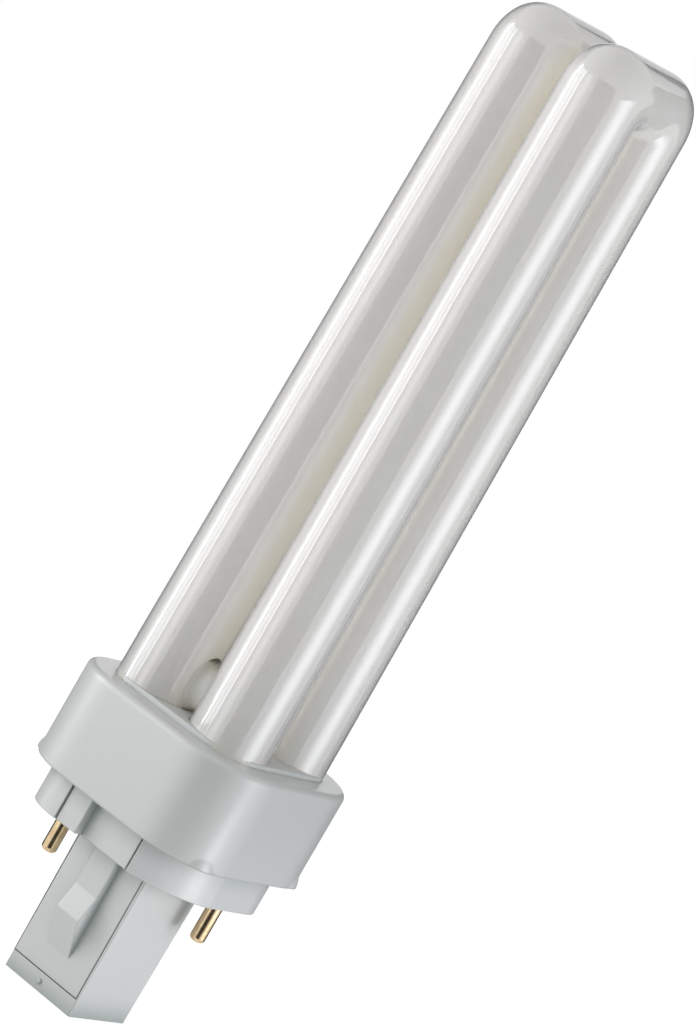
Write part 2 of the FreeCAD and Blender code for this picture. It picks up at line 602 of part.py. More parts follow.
def add_latch_ribs(body):
    """A latch rib and an ejector pip on the cover's side of the post, and opposite."""
    draft = "tan(Sizes.post_draft)"
    root = f"({POST_Y} - Sizes.post_wall / 2)"
    for sign, side in ((-1, "front"), (1, "rear")):
        level = f"{sign} * Sizes.rib_shift - Sizes.rib_width / 2"
        rib = new_sketch(body, f"{side}_rib_outline", "YZ_Plane", level)
        plan = [
            (root, "0"),
            (f"{POST_Y} + Sizes.rib_rise", "0"),
            (f"{POST_Y} + Sizes.rib_rise - Sizes.rib_straight * {draft}", "-Sizes.rib_straight"),
            (f"{POST_Y} + Sizes.rib_nose - Sizes.rib_nose_level * {draft}",
             "-Sizes.rib_nose_level"),
            (f"{POST_Y} - Sizes.rib_end * {draft}", "-Sizes.rib_end"),
            (root, "-Sizes.rib_end"),
        ]
        draw_loop(rib, [(f"{sign} * ({y})", z, None) for y, z in plan])
        pad(body, rib, "Sizes.rib_width", f"{side}_latch_rib")
        pip = new_sketch(body, f"{side}_pip_outline", "XZ_Plane",
                         f"{-sign} * ({POST_Y} + {PIP_LEVEL} * {draft} + Sizes.pip_rise)")
        draw_circle(pip, f"{sign} * 2 * Sizes.rib_shift", PIP_LEVEL, "Sizes.pip_radius")
        pad(body, pip, "Sizes.pip_rise + Sizes.post_wall / 2", f"{side}_pip",
            downwards=sign < 0)


def cover_block(name, gap):
    """Box around the cover's region, enlarged at its sides and lower edge by a gap."""
    depth = f"(2 * {SKIRT_HALF})"
    block = doc.addObject("Part::Box", name)
    bind(block, Length=f"{COVER_LEFT} + {COVER_RIGHT} + 2 * {gap}",
         Width=f"{depth} - {POST_INSIDE_Y}", Height=f"{COVER_END} + {gap} + Sizes.skirt_height",
         Placement__Base__x=f"-{COVER_LEFT} - {gap}", Placement__Base__y=f"-{depth}",
         Placement__Base__z=f"-{COVER_END} - {gap}")
    return block


def build_plug():
    """Plug housing and starter cover, parted from one form."""
    form = build_plug_form()
    doc.recompute()
    housing = doc.addObject("Part::Cut", "plug_housing")
    housing.Base = form
    housing.Tool = cover_block("cover_window", "Sizes.cover_gap")
    cover = doc.addObject("Part::Common", "starter_cover")
    cover.Base = form
    cover.Tool = cover_block("cover_region", "0")
    for item in (housing, cover):
        item.Label = item.Name
    return [housing, cover]


# The two hollow contact pins.

def build_contact_pin(letter, sign):
    body = new_body(f"contact_pin_{letter}")
    profile = new_sketch(body, f"pin_profile_{letter}", "XZ_Plane")
    bore = "(Sizes.wire_radius + Sizes.lead_gap)"
    bore_end = "-(Sizes.pin_length - Sizes.pin_end_wall)"
    tip = "-Sizes.pin_length"
    tip_round = "Sizes.pin_tip_length"
    draw_loop(profile, [
        ("0", tip, None),
        (f"Sizes.pin_radius - {tip_round}", tip, (tip_round, 1)),
        ("Sizes.pin_radius", f"{tip} + {tip_round}", None),
        ("Sizes.pin_radius", "-Sizes.shank_rise", None),
        (SHANK_RADIUS, "-Sizes.shank_rise", None),
        (SHANK_RADIUS, BOSS_TOP, None),
        (HEAD_RADIUS, BOSS_TOP, None),
        (HEAD_RADIUS, HEAD_TOP, None),
        (bore, HEAD_TOP, None),
        (bore, bore_end, None),
        ("0", bore_end, None),
    ])
    revolve(body, profile, f"turned_pin_{letter}")
    bind(body, Placement__Base__x=f"{sign} * {PIN_X}", Placement__Base__y=f"{sign} * {PIN_Y}")
    return body


# The starter: a glass bottle with a bimetal switch, and the capacitor beside it.

def build_starter_bottle():
    body = new_body("starter_bottle")
    outer = new_sketch(body, "bottle_profile", "XZ_Plane")
    radius = BOTTLE_RADIUS
    top = "Sizes.bottle_body"
    draw_loop(outer, [
        ("0", "0", (radius, 1)),
        (radius, radius, None),
        (radius, f"{top} - Sizes.press_thickness", None),
        ("Sizes.press_thickness", top, None),
        ("0", top, None),
    ])
    revolve(body, outer, "bottle_glass")
    press = new_sketch(body, "press_outline", "XY_Plane", f"{top} - Sizes.bottle_wall")
    draw_loop(press, rounded_rectangle("Sizes.press_thickness / 2", "Sizes.press_width / 2",
                                       "Sizes.bottle_wall"))
    pad(body, press, "Sizes.press_height + Sizes.bottle_wall", "bottle_press")
    doc.recompute()
    before = body.Shape.Volume
    inner = new_sketch(body, "bottle_inside", "XZ_Plane")
    inner_radius = f"({BOTTLE_RADIUS} - Sizes.bottle_wall)"
    draw_loop(inner, [
        ("0", "Sizes.bottle_wall", (inner_radius, 1)),
        (inner_radius, radius, None),
        (inner_radius, f"{top} - Sizes.press_thickness - Sizes.bottle_wall", None),
        ("0", f"{top} - Sizes.press_thickness - Sizes.bottle_wall", None),
    ])
    groove = body.newObject("PartDesign::Groove", "bottle_cavity")
    groove.Profile = inner
    groove.ReferenceAxis = (inner, ["V_Axis"])
    groove.Angle = 360
    doc.recompute()
    if not groove.Shape.Volume < before:
        raise ValueError("the bottle's cavity removes nothing")
    holes = new_sketch(body, "seal_holes", "XY_Plane", f"{top} + Sizes.press_height")
    for sign in (1, -1):
        draw_circle(holes, "0", f"{sign} * Sizes.starter_pitch / 2",
                    "Sizes.wire_radius + Sizes.bond_gap")
    pocket(body, holes,
           "Sizes.press_height + Sizes.press_thickness + Sizes.bottle_wall", "seal_passages")
    bind(body, Placement__Base__x=BOTTLE_X, Placement__Base__z=BOTTLE_FOOT)
    return body


def build_starter_leg(letter, sign, inner_length):
    """Straight wire through the bottle's press, up to the middle of its splice sleeve."""
    leg = doc.addObject("Part::Cylinder", f"starter_leg_{letter}")
    leg.Label = leg.Name
    foot = f"{BOTTLE_ROOF} - ({inner_length})"
    bind(leg, Radius="Sizes.wire_radius",
         Height=f"{SLEEVE_MIDDLE} - Sizes.butt_gap / 2 - ({foot})",
         Placement__Base__x=BOTTLE_X, Placement__Base__y=f"{sign} * Sizes.starter_pitch / 2",
         Placement__Base__z=foot)
    return leg


def build_bimetal():
    """Strip bent to a U, welded along one starter leg, its free arm short of the other."""
    body = new_body("starter_bimetal")
    near = "(-Sizes.starter_pitch / 2 + Sizes.wire_radius + Sizes.bond_gap / 2)"
    thick = "Sizes.strip_thickness"
    turn = "Sizes.strip_turn"
    low = f"({turn} + {thick} - {STRIP_DROP})"
    far = f"({near} + 2 * {thick} + 2 * {turn})"
    head = "-Sizes.bond_gap"
    profile = new_sketch(body, "strip_profile", "YZ_Plane", "-Sizes.strip_width / 2")
    draw_loop(profile, [
        (near, head, None),
        (near, low, (f"({turn} + {thick}) * 1.0001", 1)),
        (far, low, None),
        (far, f"{low} + Sizes.strip_return", None),
        (f"{far} - {thick}", f"{low} + Sizes.strip_return", None),
        (f"{far} - {thick}", low, (f"{turn} * 1.0001", -1)),
        (f"{near} + {thick}", low, None),
        (f"{near} + {thick}", head, None),
    ])
    pad(body, profile, "Sizes.strip_width", "bent_strip")
    bind(body, Placement__Base__x=BOTTLE_X, Placement__Base__z=BOTTLE_ROOF)
    return body


def build_splice_sleeve(letter, sign):
    """Short tube pressed over the ends of three leads."""
    outside = doc.addObject("Part::Cylinder", f"sleeve_outside_{letter}")
    bore = doc.addObject("Part::Cylinder", f"sleeve_bore_{letter}")
    bind(outside, Radius=f"{SLEEVE_BORE} + Sizes.sleeve_wall")
    bind(bore, Radius=SLEEVE_BORE)
    for item in (outside, bore):
        bind(item, Height="Sizes.sleeve_length", Placement__Base__x=SLEEVE_X,
             Placement__Base__y=f"{sign} * Sizes.starter_pitch / 2",
             Placement__Base__z=SLEEVE_FOOT)
    sleeve = doc.addObject("Part::Cut", f"splice_sleeve_{letter}")
    sleeve.Base = outside
    sleeve.Tool = bore
    sleeve.Label = sleeve.Name
    return sleeve


def build_capacitor():
    body = new_body("suppressor_capacitor")
    outline = new_sketch(body, "capacitor_outline", "XY_Plane")
    draw_loop(outline, rounded_rectangle("Sizes.capacitor_thickness / 2",
                                         f"{POST_INSIDE_Y} - Sizes.capacitor_side",
                                         "Sizes.capacitor_corner"))
    block = pad(body, outline, "Sizes.capacitor_height", "capacitor_block")
    doc.recompute()
    ends = edges_at_level(block.Shape, 0) + edges_at_level(block.Shape,
                                                           number("Sizes.capacitor_height"))
    round_edges(body, block, ends, "Sizes.capacitor_corner * 0.6", "dipped_edges")
    bind(body, Placement__Base__x=CAPACITOR_X, Placement__Base__z=BOTTLE_FOOT)
    return body


# The leads: bare wires along straight runs and round bends.

def wire_along(label, stops):
    """Wire through a list of stops, each three expressions, with an arc at each bend."""
    bend = number("Sizes.wire_bend")
    radius = number("Sizes.wire_radius")
    points = [FreeCAD.Vector(*(number(value) for value in stop)) for stop in stops]
    edges = []
    start = points[0]
    for before, corner, after in zip(points, points[1:], points[2:]):
        into = (corner - before).normalize()
        out = (after - corner).normalize()
        turn = into.getAngle(out)
        room = 0.45 * min((corner - before).Length, (after - corner).Length)
        reach = min(bend * math.tan(turn / 2), room)
        arc_radius = reach / math.tan(turn / 2)
        first = corner - into * reach
        last = corner + out * reach
        inward = (out - into).normalize()
        centre_distance = arc_radius / math.cos(turn / 2)
        middle = corner + inward * (centre_distance - arc_radius)
        edges.append(Part.LineSegment(start, first).toShape())
        edges.append(Part.Arc(first, middle, last).toShape())
        start = last
    edges.append(Part.LineSegment(start, points[-1]).toShape())
    path = Part.Wire(edges)
    way = points[1] - points[0]
    section = Part.Wire(Part.Circle(points[0], way, radius).toShape())
    shape = path.makePipeShell([section], True, False)
    expected = math.pi * radius ** 2 * path.Length
    if abs(shape.Volume / expected - 1) > 0.02:
        raise ValueError(f"{label} isn't a plain round wire")
    wire = doc.addObject("Part::Feature", label)
    wire.Shape = shape
    wire.Label = label
    return wire


def build_leads():
    """Four leads from the seals and two from the capacitor."""
    seal_y = LEG
    outer = f"{LEG} + Sizes.seal_pitch / 2"
    inner = f"{LEG} - Sizes.seal_pitch / 2"
    seal_end = f"{SEAL_FOOT} - Sizes.bond_gap"
    bore_end = "-(Sizes.pin_length - Sizes.pin_end_wall) / 2"
    near_level = f"{HEAD_TOP} + Sizes.wire_bend"
    long_level = "Sizes.long_route_level"
    leads = [
        wire_along("pin_lead_a", [
            (f"-({outer})", seal_y, seal_end), (f"-({outer})", seal_y, long_level),
            (f"-{PIN_X}", f"-{PIN_Y}", long_level), (f"-{PIN_X}", f"-{PIN_Y}", bore_end)]),
        wire_along("pin_lead_b", [
            (outer, seal_y, seal_end), (outer, seal_y, long_level),
            (PIN_X, PIN_Y, near_level), (PIN_X, PIN_Y, bore_end)]),
    ]
    for letter, x_sign, y_sign in (("a", -1, -1), ("b", 1, 1)):
        sleeve_y = f"{y_sign} * Sizes.starter_pitch / 2"
        level = "Sizes.route_level" if y_sign > 0 else "Sizes.route_level - 4 * Sizes.wire_radius"
        leads.append(wire_along(f"starter_lead_{letter}", [
            (f"{x_sign} * ({inner})", seal_y, seal_end),
            (f"{x_sign} * ({inner})", seal_y, level),
            (SLEEVE_X, sleeve_y, level),
            (SLEEVE_X, sleeve_y, f"{SLEEVE_MIDDLE} + Sizes.butt_gap / 2")]))
        crossing = f"({PRESS_TOP} + {SLEEVE_FOOT}) / 2"
        in_sleeve = f"{BOTTLE_X} + {WIRE_PITCH}"
        leads.append(wire_along(f"capacitor_lead_{letter}", [
            (CAPACITOR_X, sleeve_y, f"{CAPACITOR_TOP} + Sizes.bond_gap"),
            (CAPACITOR_X, sleeve_y, crossing),
            (in_sleeve, sleeve_y, crossing),
            (in_sleeve, sleeve_y, f"{SLEEVE_MIDDLE} - Sizes.butt_gap / 2")]))
    return leads


nodes = [build_discharge_tube(), build_tube_holder(), build_seating_cement()]
nodes += build_plug()
for pin_letter, pin_sign in (("a", -1), ("b", 1)):
    nodes.append(build_contact_pin(pin_letter, pin_sign))
nodes.append(build_starter_bottle())
nodes.append(build_bimetal())
nodes.append(build_starter_leg("a", -1, "Sizes.short_leg"))
nodes.append(build_starter_leg("b", 1, f"{STRIP_DROP} - Sizes.contact_rise"))
for sleeve_letter, sleeve_sign in (("a", -1), ("b", 1)):
    nodes.append(build_splice_sleeve(sleeve_letter, sleeve_sign))
nodes.append(build_capacitor())
nodes += build_leads()

doc.recompute()
for item in doc.Objects:
    if "Invalid" in item.State or "Error" in item.State:
        raise ValueError(f"{item.Label} can't be built: {item.State}")
for node in nodes:
    if node.Shape.isNull() or not node.Shape.isValid() or not node.Shape.Solids:
        raise ValueError(f"{node.Label} isn't a valid solid")

os.makedirs("parts", exist_ok=True)
for node in nodes:
    node.Shape.exportStep(f"parts/{node.Label}.step")
    print(node.Label, len(node.Shape.Solids), round(node.Shape.Volume, 2))
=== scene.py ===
"""Dresses the plug-in lamp: glass U tubes, moulded holder and plug, brass pins, studio.

The tubes' sizes are in millimetres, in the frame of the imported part: +Z runs along the lamp's
axis to the tips of the tubes, and the origin lies in the seating plane under the skirt. Sizes
in the finishes and in the studio are in metres.
"""

import json
import logging
import math
from abc import ABC, abstractmethod
from dataclasses import dataclass, fields
from enum import Enum
from functools import cached_property

import bpy
import numpy as np
from mathutils import Matrix, Vector

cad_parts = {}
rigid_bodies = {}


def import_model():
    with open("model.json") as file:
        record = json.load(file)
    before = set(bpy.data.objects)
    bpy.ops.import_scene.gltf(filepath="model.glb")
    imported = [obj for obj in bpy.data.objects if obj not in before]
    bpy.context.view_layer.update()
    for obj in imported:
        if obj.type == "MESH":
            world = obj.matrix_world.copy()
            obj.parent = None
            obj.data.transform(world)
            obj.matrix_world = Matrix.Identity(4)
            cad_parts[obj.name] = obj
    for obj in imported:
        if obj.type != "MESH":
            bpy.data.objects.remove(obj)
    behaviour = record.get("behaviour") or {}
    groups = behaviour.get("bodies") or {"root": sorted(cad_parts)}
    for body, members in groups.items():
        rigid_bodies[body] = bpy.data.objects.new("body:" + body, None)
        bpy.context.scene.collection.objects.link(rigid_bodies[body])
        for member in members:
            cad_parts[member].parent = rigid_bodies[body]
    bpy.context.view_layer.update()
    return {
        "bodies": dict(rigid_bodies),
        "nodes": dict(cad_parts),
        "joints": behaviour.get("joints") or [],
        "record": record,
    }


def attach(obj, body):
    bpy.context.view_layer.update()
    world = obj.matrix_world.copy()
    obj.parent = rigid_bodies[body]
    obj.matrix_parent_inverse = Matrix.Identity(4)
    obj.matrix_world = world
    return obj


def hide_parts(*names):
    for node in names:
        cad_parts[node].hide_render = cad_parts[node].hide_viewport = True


log = logging.getLogger("plug_in_lamp")
MM = 0.001
TINY = 1e-9
RAY_SAMPLES = 6
Colour = tuple[float, float, float]
Point = tuple[float, float, float]
Range = tuple[float, float]
Socket = bpy.types.NodeSocket
Skin = tuple[np.ndarray, np.ndarray, np.ndarray]
WHITE: Colour = (1.0, 1.0, 1.0)
BLACK: Colour = (0.0, 0.0, 0.0)


# Meshes worked out on grids.


@dataclass(frozen=True)
class Stations:
    """Cross-sections along a swept skin, one row of each array per section.

    A section is a superellipse: along its first axis it reaches half_u, along its second axis
    half_v, and its exponent is 2 for an ellipse and higher for a squarer outline.
    """

    centres: np.ndarray
    axis_u: np.ndarray
    axis_v: np.ndarray
    half_u: np.ndarray
    half_v: np.ndarray
    exponent: np.ndarray

    def turned_round(self) -> "Stations":
        """Gives the same sections in the opposite order."""
        return Stations(*(getattr(self, item.name)[::-1] for item in fields(self)))

    def grid(self, segments: int) -> np.ndarray:
        """Works out the skin's points.

        A point is the section's centre plus half_u times the signed power 2/exponent of the
        cosine along the first axis, plus half_v times that of the sine along the second.

        Args:
            segments: Points around each section.

        Returns:
            Array of sections by segments by 3, in millimetres.
        """
        turn = np.linspace(0.0, 2.0 * math.pi, segments, endpoint=False)
        power = 2.0 / self.exponent[:, None]
        cosine = np.sign(np.cos(turn)) * np.abs(np.cos(turn))[None, :] ** power
        sine = np.sign(np.sin(turn)) * np.abs(np.sin(turn))[None, :] ** power
        return (
            self.centres[:, None, :]
            + (self.half_u[:, None] * cosine)[..., None] * self.axis_u[:, None, :]
            + (self.half_v[:, None] * sine)[..., None] * self.axis_v[:, None, :]
        )


def join_stations(parts: list[Stations]) -> Stations:
    """Puts runs of sections one after another.

    Args:
        parts: The runs, in the order of the path.

    Returns:
        One run that holds them all.
    """
    return Stations(*(np.concatenate([getattr(part, item.name) for part in parts])
                      for item in fields(Stations)))


def closed_skin(points: np.ndarray) -> Skin:
    """Turns a grid that closes around its sections into quads with a fan at each end.

    Args:
        points: Array of sections by segments by 3.

    Returns:
        Vertices, quads and triangles, with their faces outwards.
    """
    rows, columns = points.shape[:2]
    index = np.arange(rows * columns).reshape(rows, columns)
    after = np.roll(index, -1, axis=1)
    quads = np.stack([index[:-1], after[:-1], after[1:], index[1:]], axis=-1).reshape(-1, 4)
    ends = np.stack([points[0].mean(axis=0), points[-1].mean(axis=0)])
    low, high = rows * columns, rows * columns + 1
    first = np.stack([np.full(columns, low), after[0], index[0]], axis=-1)
    last = np.stack([np.full(columns, high), index[-1], after[-1]], axis=-1)
    vertices = np.concatenate([points.reshape(-1, 3), ends])
    return face_outwards(vertices, quads, np.concatenate([first, last]))


def face_outwards(vertices: np.ndarray, quads: np.ndarray, triangles: np.ndarray) -> Skin:
    """Turns a closed skin's faces round if its signed volume is negative.

    The volume is a sixth of the sum of each triangle's triple product, with every quad cut
    in two.

    Args:
        vertices: The skin's points.
        quads: Faces of four.
        triangles: Faces of three.

    Returns:
        The skin with its faces outwards.
    """
    cut = np.concatenate([triangles, quads[:, [0, 1, 2]], quads[:, [0, 2, 3]]])
    a, b, c = (vertices[cut[:, k]] for k in range(3))
    volume = np.einsum("ij,ij->i", a, np.cross(b, c)).sum() / 6
    if volume < 0:
        return vertices, quads[:, ::-1], triangles[:, ::-1]
    return vertices, quads, triangles


def add_object(name: str, data: bpy.types.ID) -> bpy.types.Object:
    """Puts an object with this data into the scene, at the origin.

    Args:
        name: The object's name.
        data: Its mesh, light or camera.

    Returns:
        The object.
    """
    thing = bpy.data.objects.new(name, data)
    bpy.context.scene.collection.objects.link(thing)
    return thing


def mesh_object(name: str, skins: list[Skin]) -> bpy.types.Object:
    """Makes one smooth-shaded object from closed skins.

    Args:
        name: The piece's name.
        skins: Vertices in millimetres, quads and triangles of each skin.

    Returns:
        The object, at the origin, with its place in its mesh.
    """
    vertices, faces, offset = [], [], 0
    for points, quads, triangles in skins:
        vertices.append(points * MM)
        faces += (quads + offset).tolist() + (triangles + offset).tolist()
        offset += len(points)
    mesh = bpy.data.meshes.new(name)
    mesh.from_pydata(np.concatenate(vertices).tolist(), [], faces)
    mesh.polygons.foreach_set("use_smooth", np.ones(len(faces), dtype=bool))
    mesh.update()
    return add_object(name, mesh)


# Finishes.


@dataclass(frozen=True)
class Cloud:
    """Smooth noise: cells per metre, finer layers, and a factor on each coordinate."""

    cells: float
    layers: float = 2.0
    stretch: Point = (1.0, 1.0, 1.0)


@dataclass(frozen=True)
class Relief:
    """A raised pattern: its noise, its height in metres, and the share of it that shows."""

    cloud: Cloud
    height: float
    share: float


class NodeTree:
    """Short ways to add nodes and links to the tree of a material, a light or the world."""

    def __init__(self, owner: bpy.types.Material | bpy.types.Light | bpy.types.World) -> None:
        """Empties the owner's tree.

        Args:
            owner: What the tree belongs to.
        """
        owner.use_nodes = True
        self.owner = owner
        self.tree = owner.node_tree
        self.tree.nodes.clear()

    @classmethod
    def material(cls, name: str) -> "NodeTree":
        """Starts a new material with this name."""
        return cls(bpy.data.materials.new(name))

    @cached_property
    def place(self) -> Socket:
        """The object's own coordinates."""
        return self.add("ShaderNodeTexCoord").outputs["Object"]

    def add(self, kind: str, **settings: object) -> bpy.types.Node:
        """Adds a node.

        Args:
            kind: The node's type name.
            **settings: Values for its attributes, or for its input sockets by their names
                with _ in place of each space. A socket as a value is linked, and a colour
                may leave out its alpha.

        Returns:
            The node.
        """
        node = self.tree.nodes.new(kind)
        for name, value in settings.items():
            if hasattr(node, name):
                setattr(node, name, value)
                continue
            socket = node.inputs[name.replace("_", " ")]
            if isinstance(value, Socket):
                self.link(value, socket)
            elif socket.type == "RGBA":
                socket.default_value = (*value, 1.0)
            else:
                socket.default_value = value
        return node

    def link(self, start: Socket, end: Socket) -> None:
        """Links an output to an input."""
        self.tree.links.new(start, end)

    def calculate(self, operation: str, *values: Socket | float) -> Socket:
        """Adds one step of arithmetic.

        Args:
            operation: The step's name.
            *values: Its inputs in order, each a socket to link or a number.

        Returns:
            The result.
        """
        node = self.add("ShaderNodeMath", operation=operation)
        for socket, value in zip(node.inputs, values):
            if isinstance(value, Socket):
                self.link(value, socket)
            else:
                socket.default_value = value
        return node.outputs["Value"]

    def noise(self, cloud: Cloud) -> Socket:
        """Adds smooth noise on the object's own coordinates.

        Args:
            cloud: The noise.

        Returns:
            The noise's factor output.
        """
        mapping = self.add("ShaderNodeMapping", vector_type="POINT", Scale=cloud.stretch,
                           Vector=self.place)
        texture = self.add("ShaderNodeTexNoise", Scale=cloud.cells, Detail=cloud.layers,
                           Vector=mapping.outputs["Vector"])
        return texture.outputs["Fac"]

    def ramp(self, factor: Socket, stops: list[tuple[float, Colour]]) -> Socket:
        """Adds a colour ramp.

        Args:
            factor: What the ramp reads.
            stops: Positions and colours.

        Returns:
            The ramp's colour output.
        """
        node = self.add("ShaderNodeValToRGB", Fac=factor)
        while len(node.color_ramp.elements) < len(stops):
            node.color_ramp.elements.new(0.5)
        for element, (position, colour) in zip(node.color_ramp.elements, stops):
            element.position = position
            element.color = (*colour, 1.0)
        return node.outputs["Color"]

    def fade(self, factor: Socket, span: Range, start: Colour, end: Colour) -> Socket:
        """Runs from one colour to another as the factor crosses a span.

        Args:
            factor: What the ramp reads.
            span: Where the change starts and ends.
            start: Colour below the span.
            end: Colour above it.

        Returns:
            The colour.
        """
        return self.ramp(factor, [(span[0], start), (span[1], end)])

    def between(self, factor: Socket, low: float, high: float) -> Socket:
        """Maps a factor from 0 to 1 onto a range of values.

        Args:
            factor: What the range reads.
            low: Value at 0.
            high: Value at 1.

        Returns:
            The value.
        """
        node = self.add("ShaderNodeMapRange", Value=factor, To_Min=low, To_Max=high)
        return node.outputs["Result"]

    def multiply(self, first: Socket, second: Socket) -> Socket:
        """Multiplies two colours.

        The mix node has hidden sockets of the same names, so its sockets are taken by their
        identifiers.

        Args:
            first: One colour.
            second: The other.

        Returns:
            The product.
        """
        node = self.add("ShaderNodeMix", data_type="RGBA", blend_type="MULTIPLY")
        sockets = {socket.identifier: socket for socket in (*node.inputs, *node.outputs)}
        sockets["Factor_Float"].default_value = 1.0
        self.link(first, sockets["A_Color"])
        self.link(second, sockets["B_Color"])
        return sockets["Result_Color"]

    def openness(self, reach: float) -> Socket:
        """Tells how open a point is: 1 in the open, less with surfaces within the reach.

        Args:
            reach: Distance in metres up to which surfaces count.

        Returns:
            The share.
        """
        node = self.add("ShaderNodeAmbientOcclusion", samples=RAY_SAMPLES, Distance=reach)
        return node.outputs["AO"]

    def bump(self, pattern: Socket, relief: Relief, normal: Socket | None = None) -> Socket:
        """Adds a bump.

        Args:
            pattern: What the bump reads, from 0 to 1.
            relief: Its height and share.
            normal: The normal to start from, if it isn't the mesh's own.

        Returns:
            The bumped normal.
        """
        node = self.add("ShaderNodeBump", Strength=relief.share, Distance=relief.height,
                        Height=pattern)
        if normal is not None:
            self.link(normal, node.inputs["Normal"])
        return node.outputs["Normal"]

    def raised(self, relief: Relief, normal: Socket | None = None) -> Socket:
        """Adds a bump that reads the relief's own noise."""
        return self.bump(self.noise(relief.cloud), relief, normal)

    def mix(self, share: Socket | float, first: Socket, second: Socket) -> Socket:
        """Mixes two shaders.

        Args:
            share: Share of the second, from 0 to 1.
            first: One shader.
            second: The other.

        Returns:
            The mixed shader.
        """
        node = self.add("ShaderNodeMixShader", Fac=share)
        self.link(first, node.inputs[1])
        self.link(second, node.inputs[2])
        return node.outputs["Shader"]

    def surface(self, **settings: object) -> Socket:
        """Adds the general surface shader; the settings are as in add()."""
        return self.add("ShaderNodeBsdfPrincipled", **settings).outputs["BSDF"]

    def glow(self, colour: Socket) -> Socket:
        """Adds the shader of light that comes through a thin coat of this colour."""
        return self.add("ShaderNodeBsdfTranslucent", Color=colour).outputs["BSDF"]

    def finished(self, shader: Socket) -> bpy.types.ID:
        """Ends the tree with the output of its kind of owner.

        Args:
            shader: The last shader.

        Returns:
            The tree's owner.
        """
        self.add(f"ShaderNodeOutput{self.owner.id_type.capitalize()}", Surface=shader)
        return self.owner


class Finish(ABC):
    """A surface of one of the lamp's pieces."""

    @abstractmethod
    def make(self) -> bpy.types.Material:
        """Builds the finish's material."""


@dataclass(frozen=True)
class PhosphorGlass(Finish):
    """White phosphor coat seen through a polished glass wall."""

    name: str = "phosphor_glass"
    coat_light: Colour = (0.965, 0.96, 0.955)
    coat_warm: Colour = (0.955, 0.945, 0.93)
    mottle: Cloud = Cloud(260.0, 4.0, (1.0, 1.0, 0.35))
    mottle_span: Range = (0.30, 0.62)
    grain: Relief = Relief(Cloud(9000.0), 0.00002, 0.25)
    roughness: float = 0.42
    powder_gloss: float = 0.25
    glass_roughness: float = 0.02
    glass_ior: float = 2.15
    glass_wave: Relief = Relief(Cloud(55.0, 1.0, (1.0, 1.0, 0.25)), 0.00025, 0.012)
    glow_share: float = 0.34
    # Painted warm tint that stands for light bounced between the legs, where other glass is near.
    crease: Colour = (1.0, 0.975, 0.88)
    crease_reach: float = 0.006
    crease_span: Range = (0.22, 0.70)
    wall_tint: Colour = (0.20, 0.21, 0.23)
    wall_share: float = 0.9
    wall_span: Range = (0.58, 1.0)

    def make(self) -> bpy.types.Material:
        """Builds the material: mottled powder, with a painted warm tint of light bounced between
        the legs, under clear glass.

        Seen edge-on the clear wall hides the powder, so the wall's own share grows with the
        angle.

        Returns:
            The material.
        """
        nodes = NodeTree.material(self.name)
        mottle, openness = nodes.noise(self.mottle), nodes.openness(self.crease_reach)
        # The powder's colour takes the painted warm tint of bounced light where other glass is
        # near.
        colour = nodes.multiply(
            nodes.fade(mottle, self.mottle_span, self.coat_warm, self.coat_light),
            nodes.fade(openness, self.crease_span, self.crease, WHITE))
        coat = nodes.surface(
            Base_Color=colour, Roughness=self.roughness, Specular_IOR_Level=self.powder_gloss,
            Normal=nodes.raised(self.grain), Coat_Weight=1.0, Coat_Roughness=self.glass_roughness,
            Coat_IOR=self.glass_ior, Coat_Normal=nodes.raised(self.glass_wave))
        lit = nodes.mix(self.glow_share, coat, nodes.glow(colour))
        wall = nodes.surface(Base_Color=self.wall_tint, Roughness=self.glass_roughness)
        facing = nodes.add("ShaderNodeLayerWeight", Blend=0.5).outputs["Facing"]
        share = nodes.fade(facing, self.wall_span, BLACK, (self.wall_share,) * 3)
        return nodes.finished(nodes.mix(share, lit, wall))


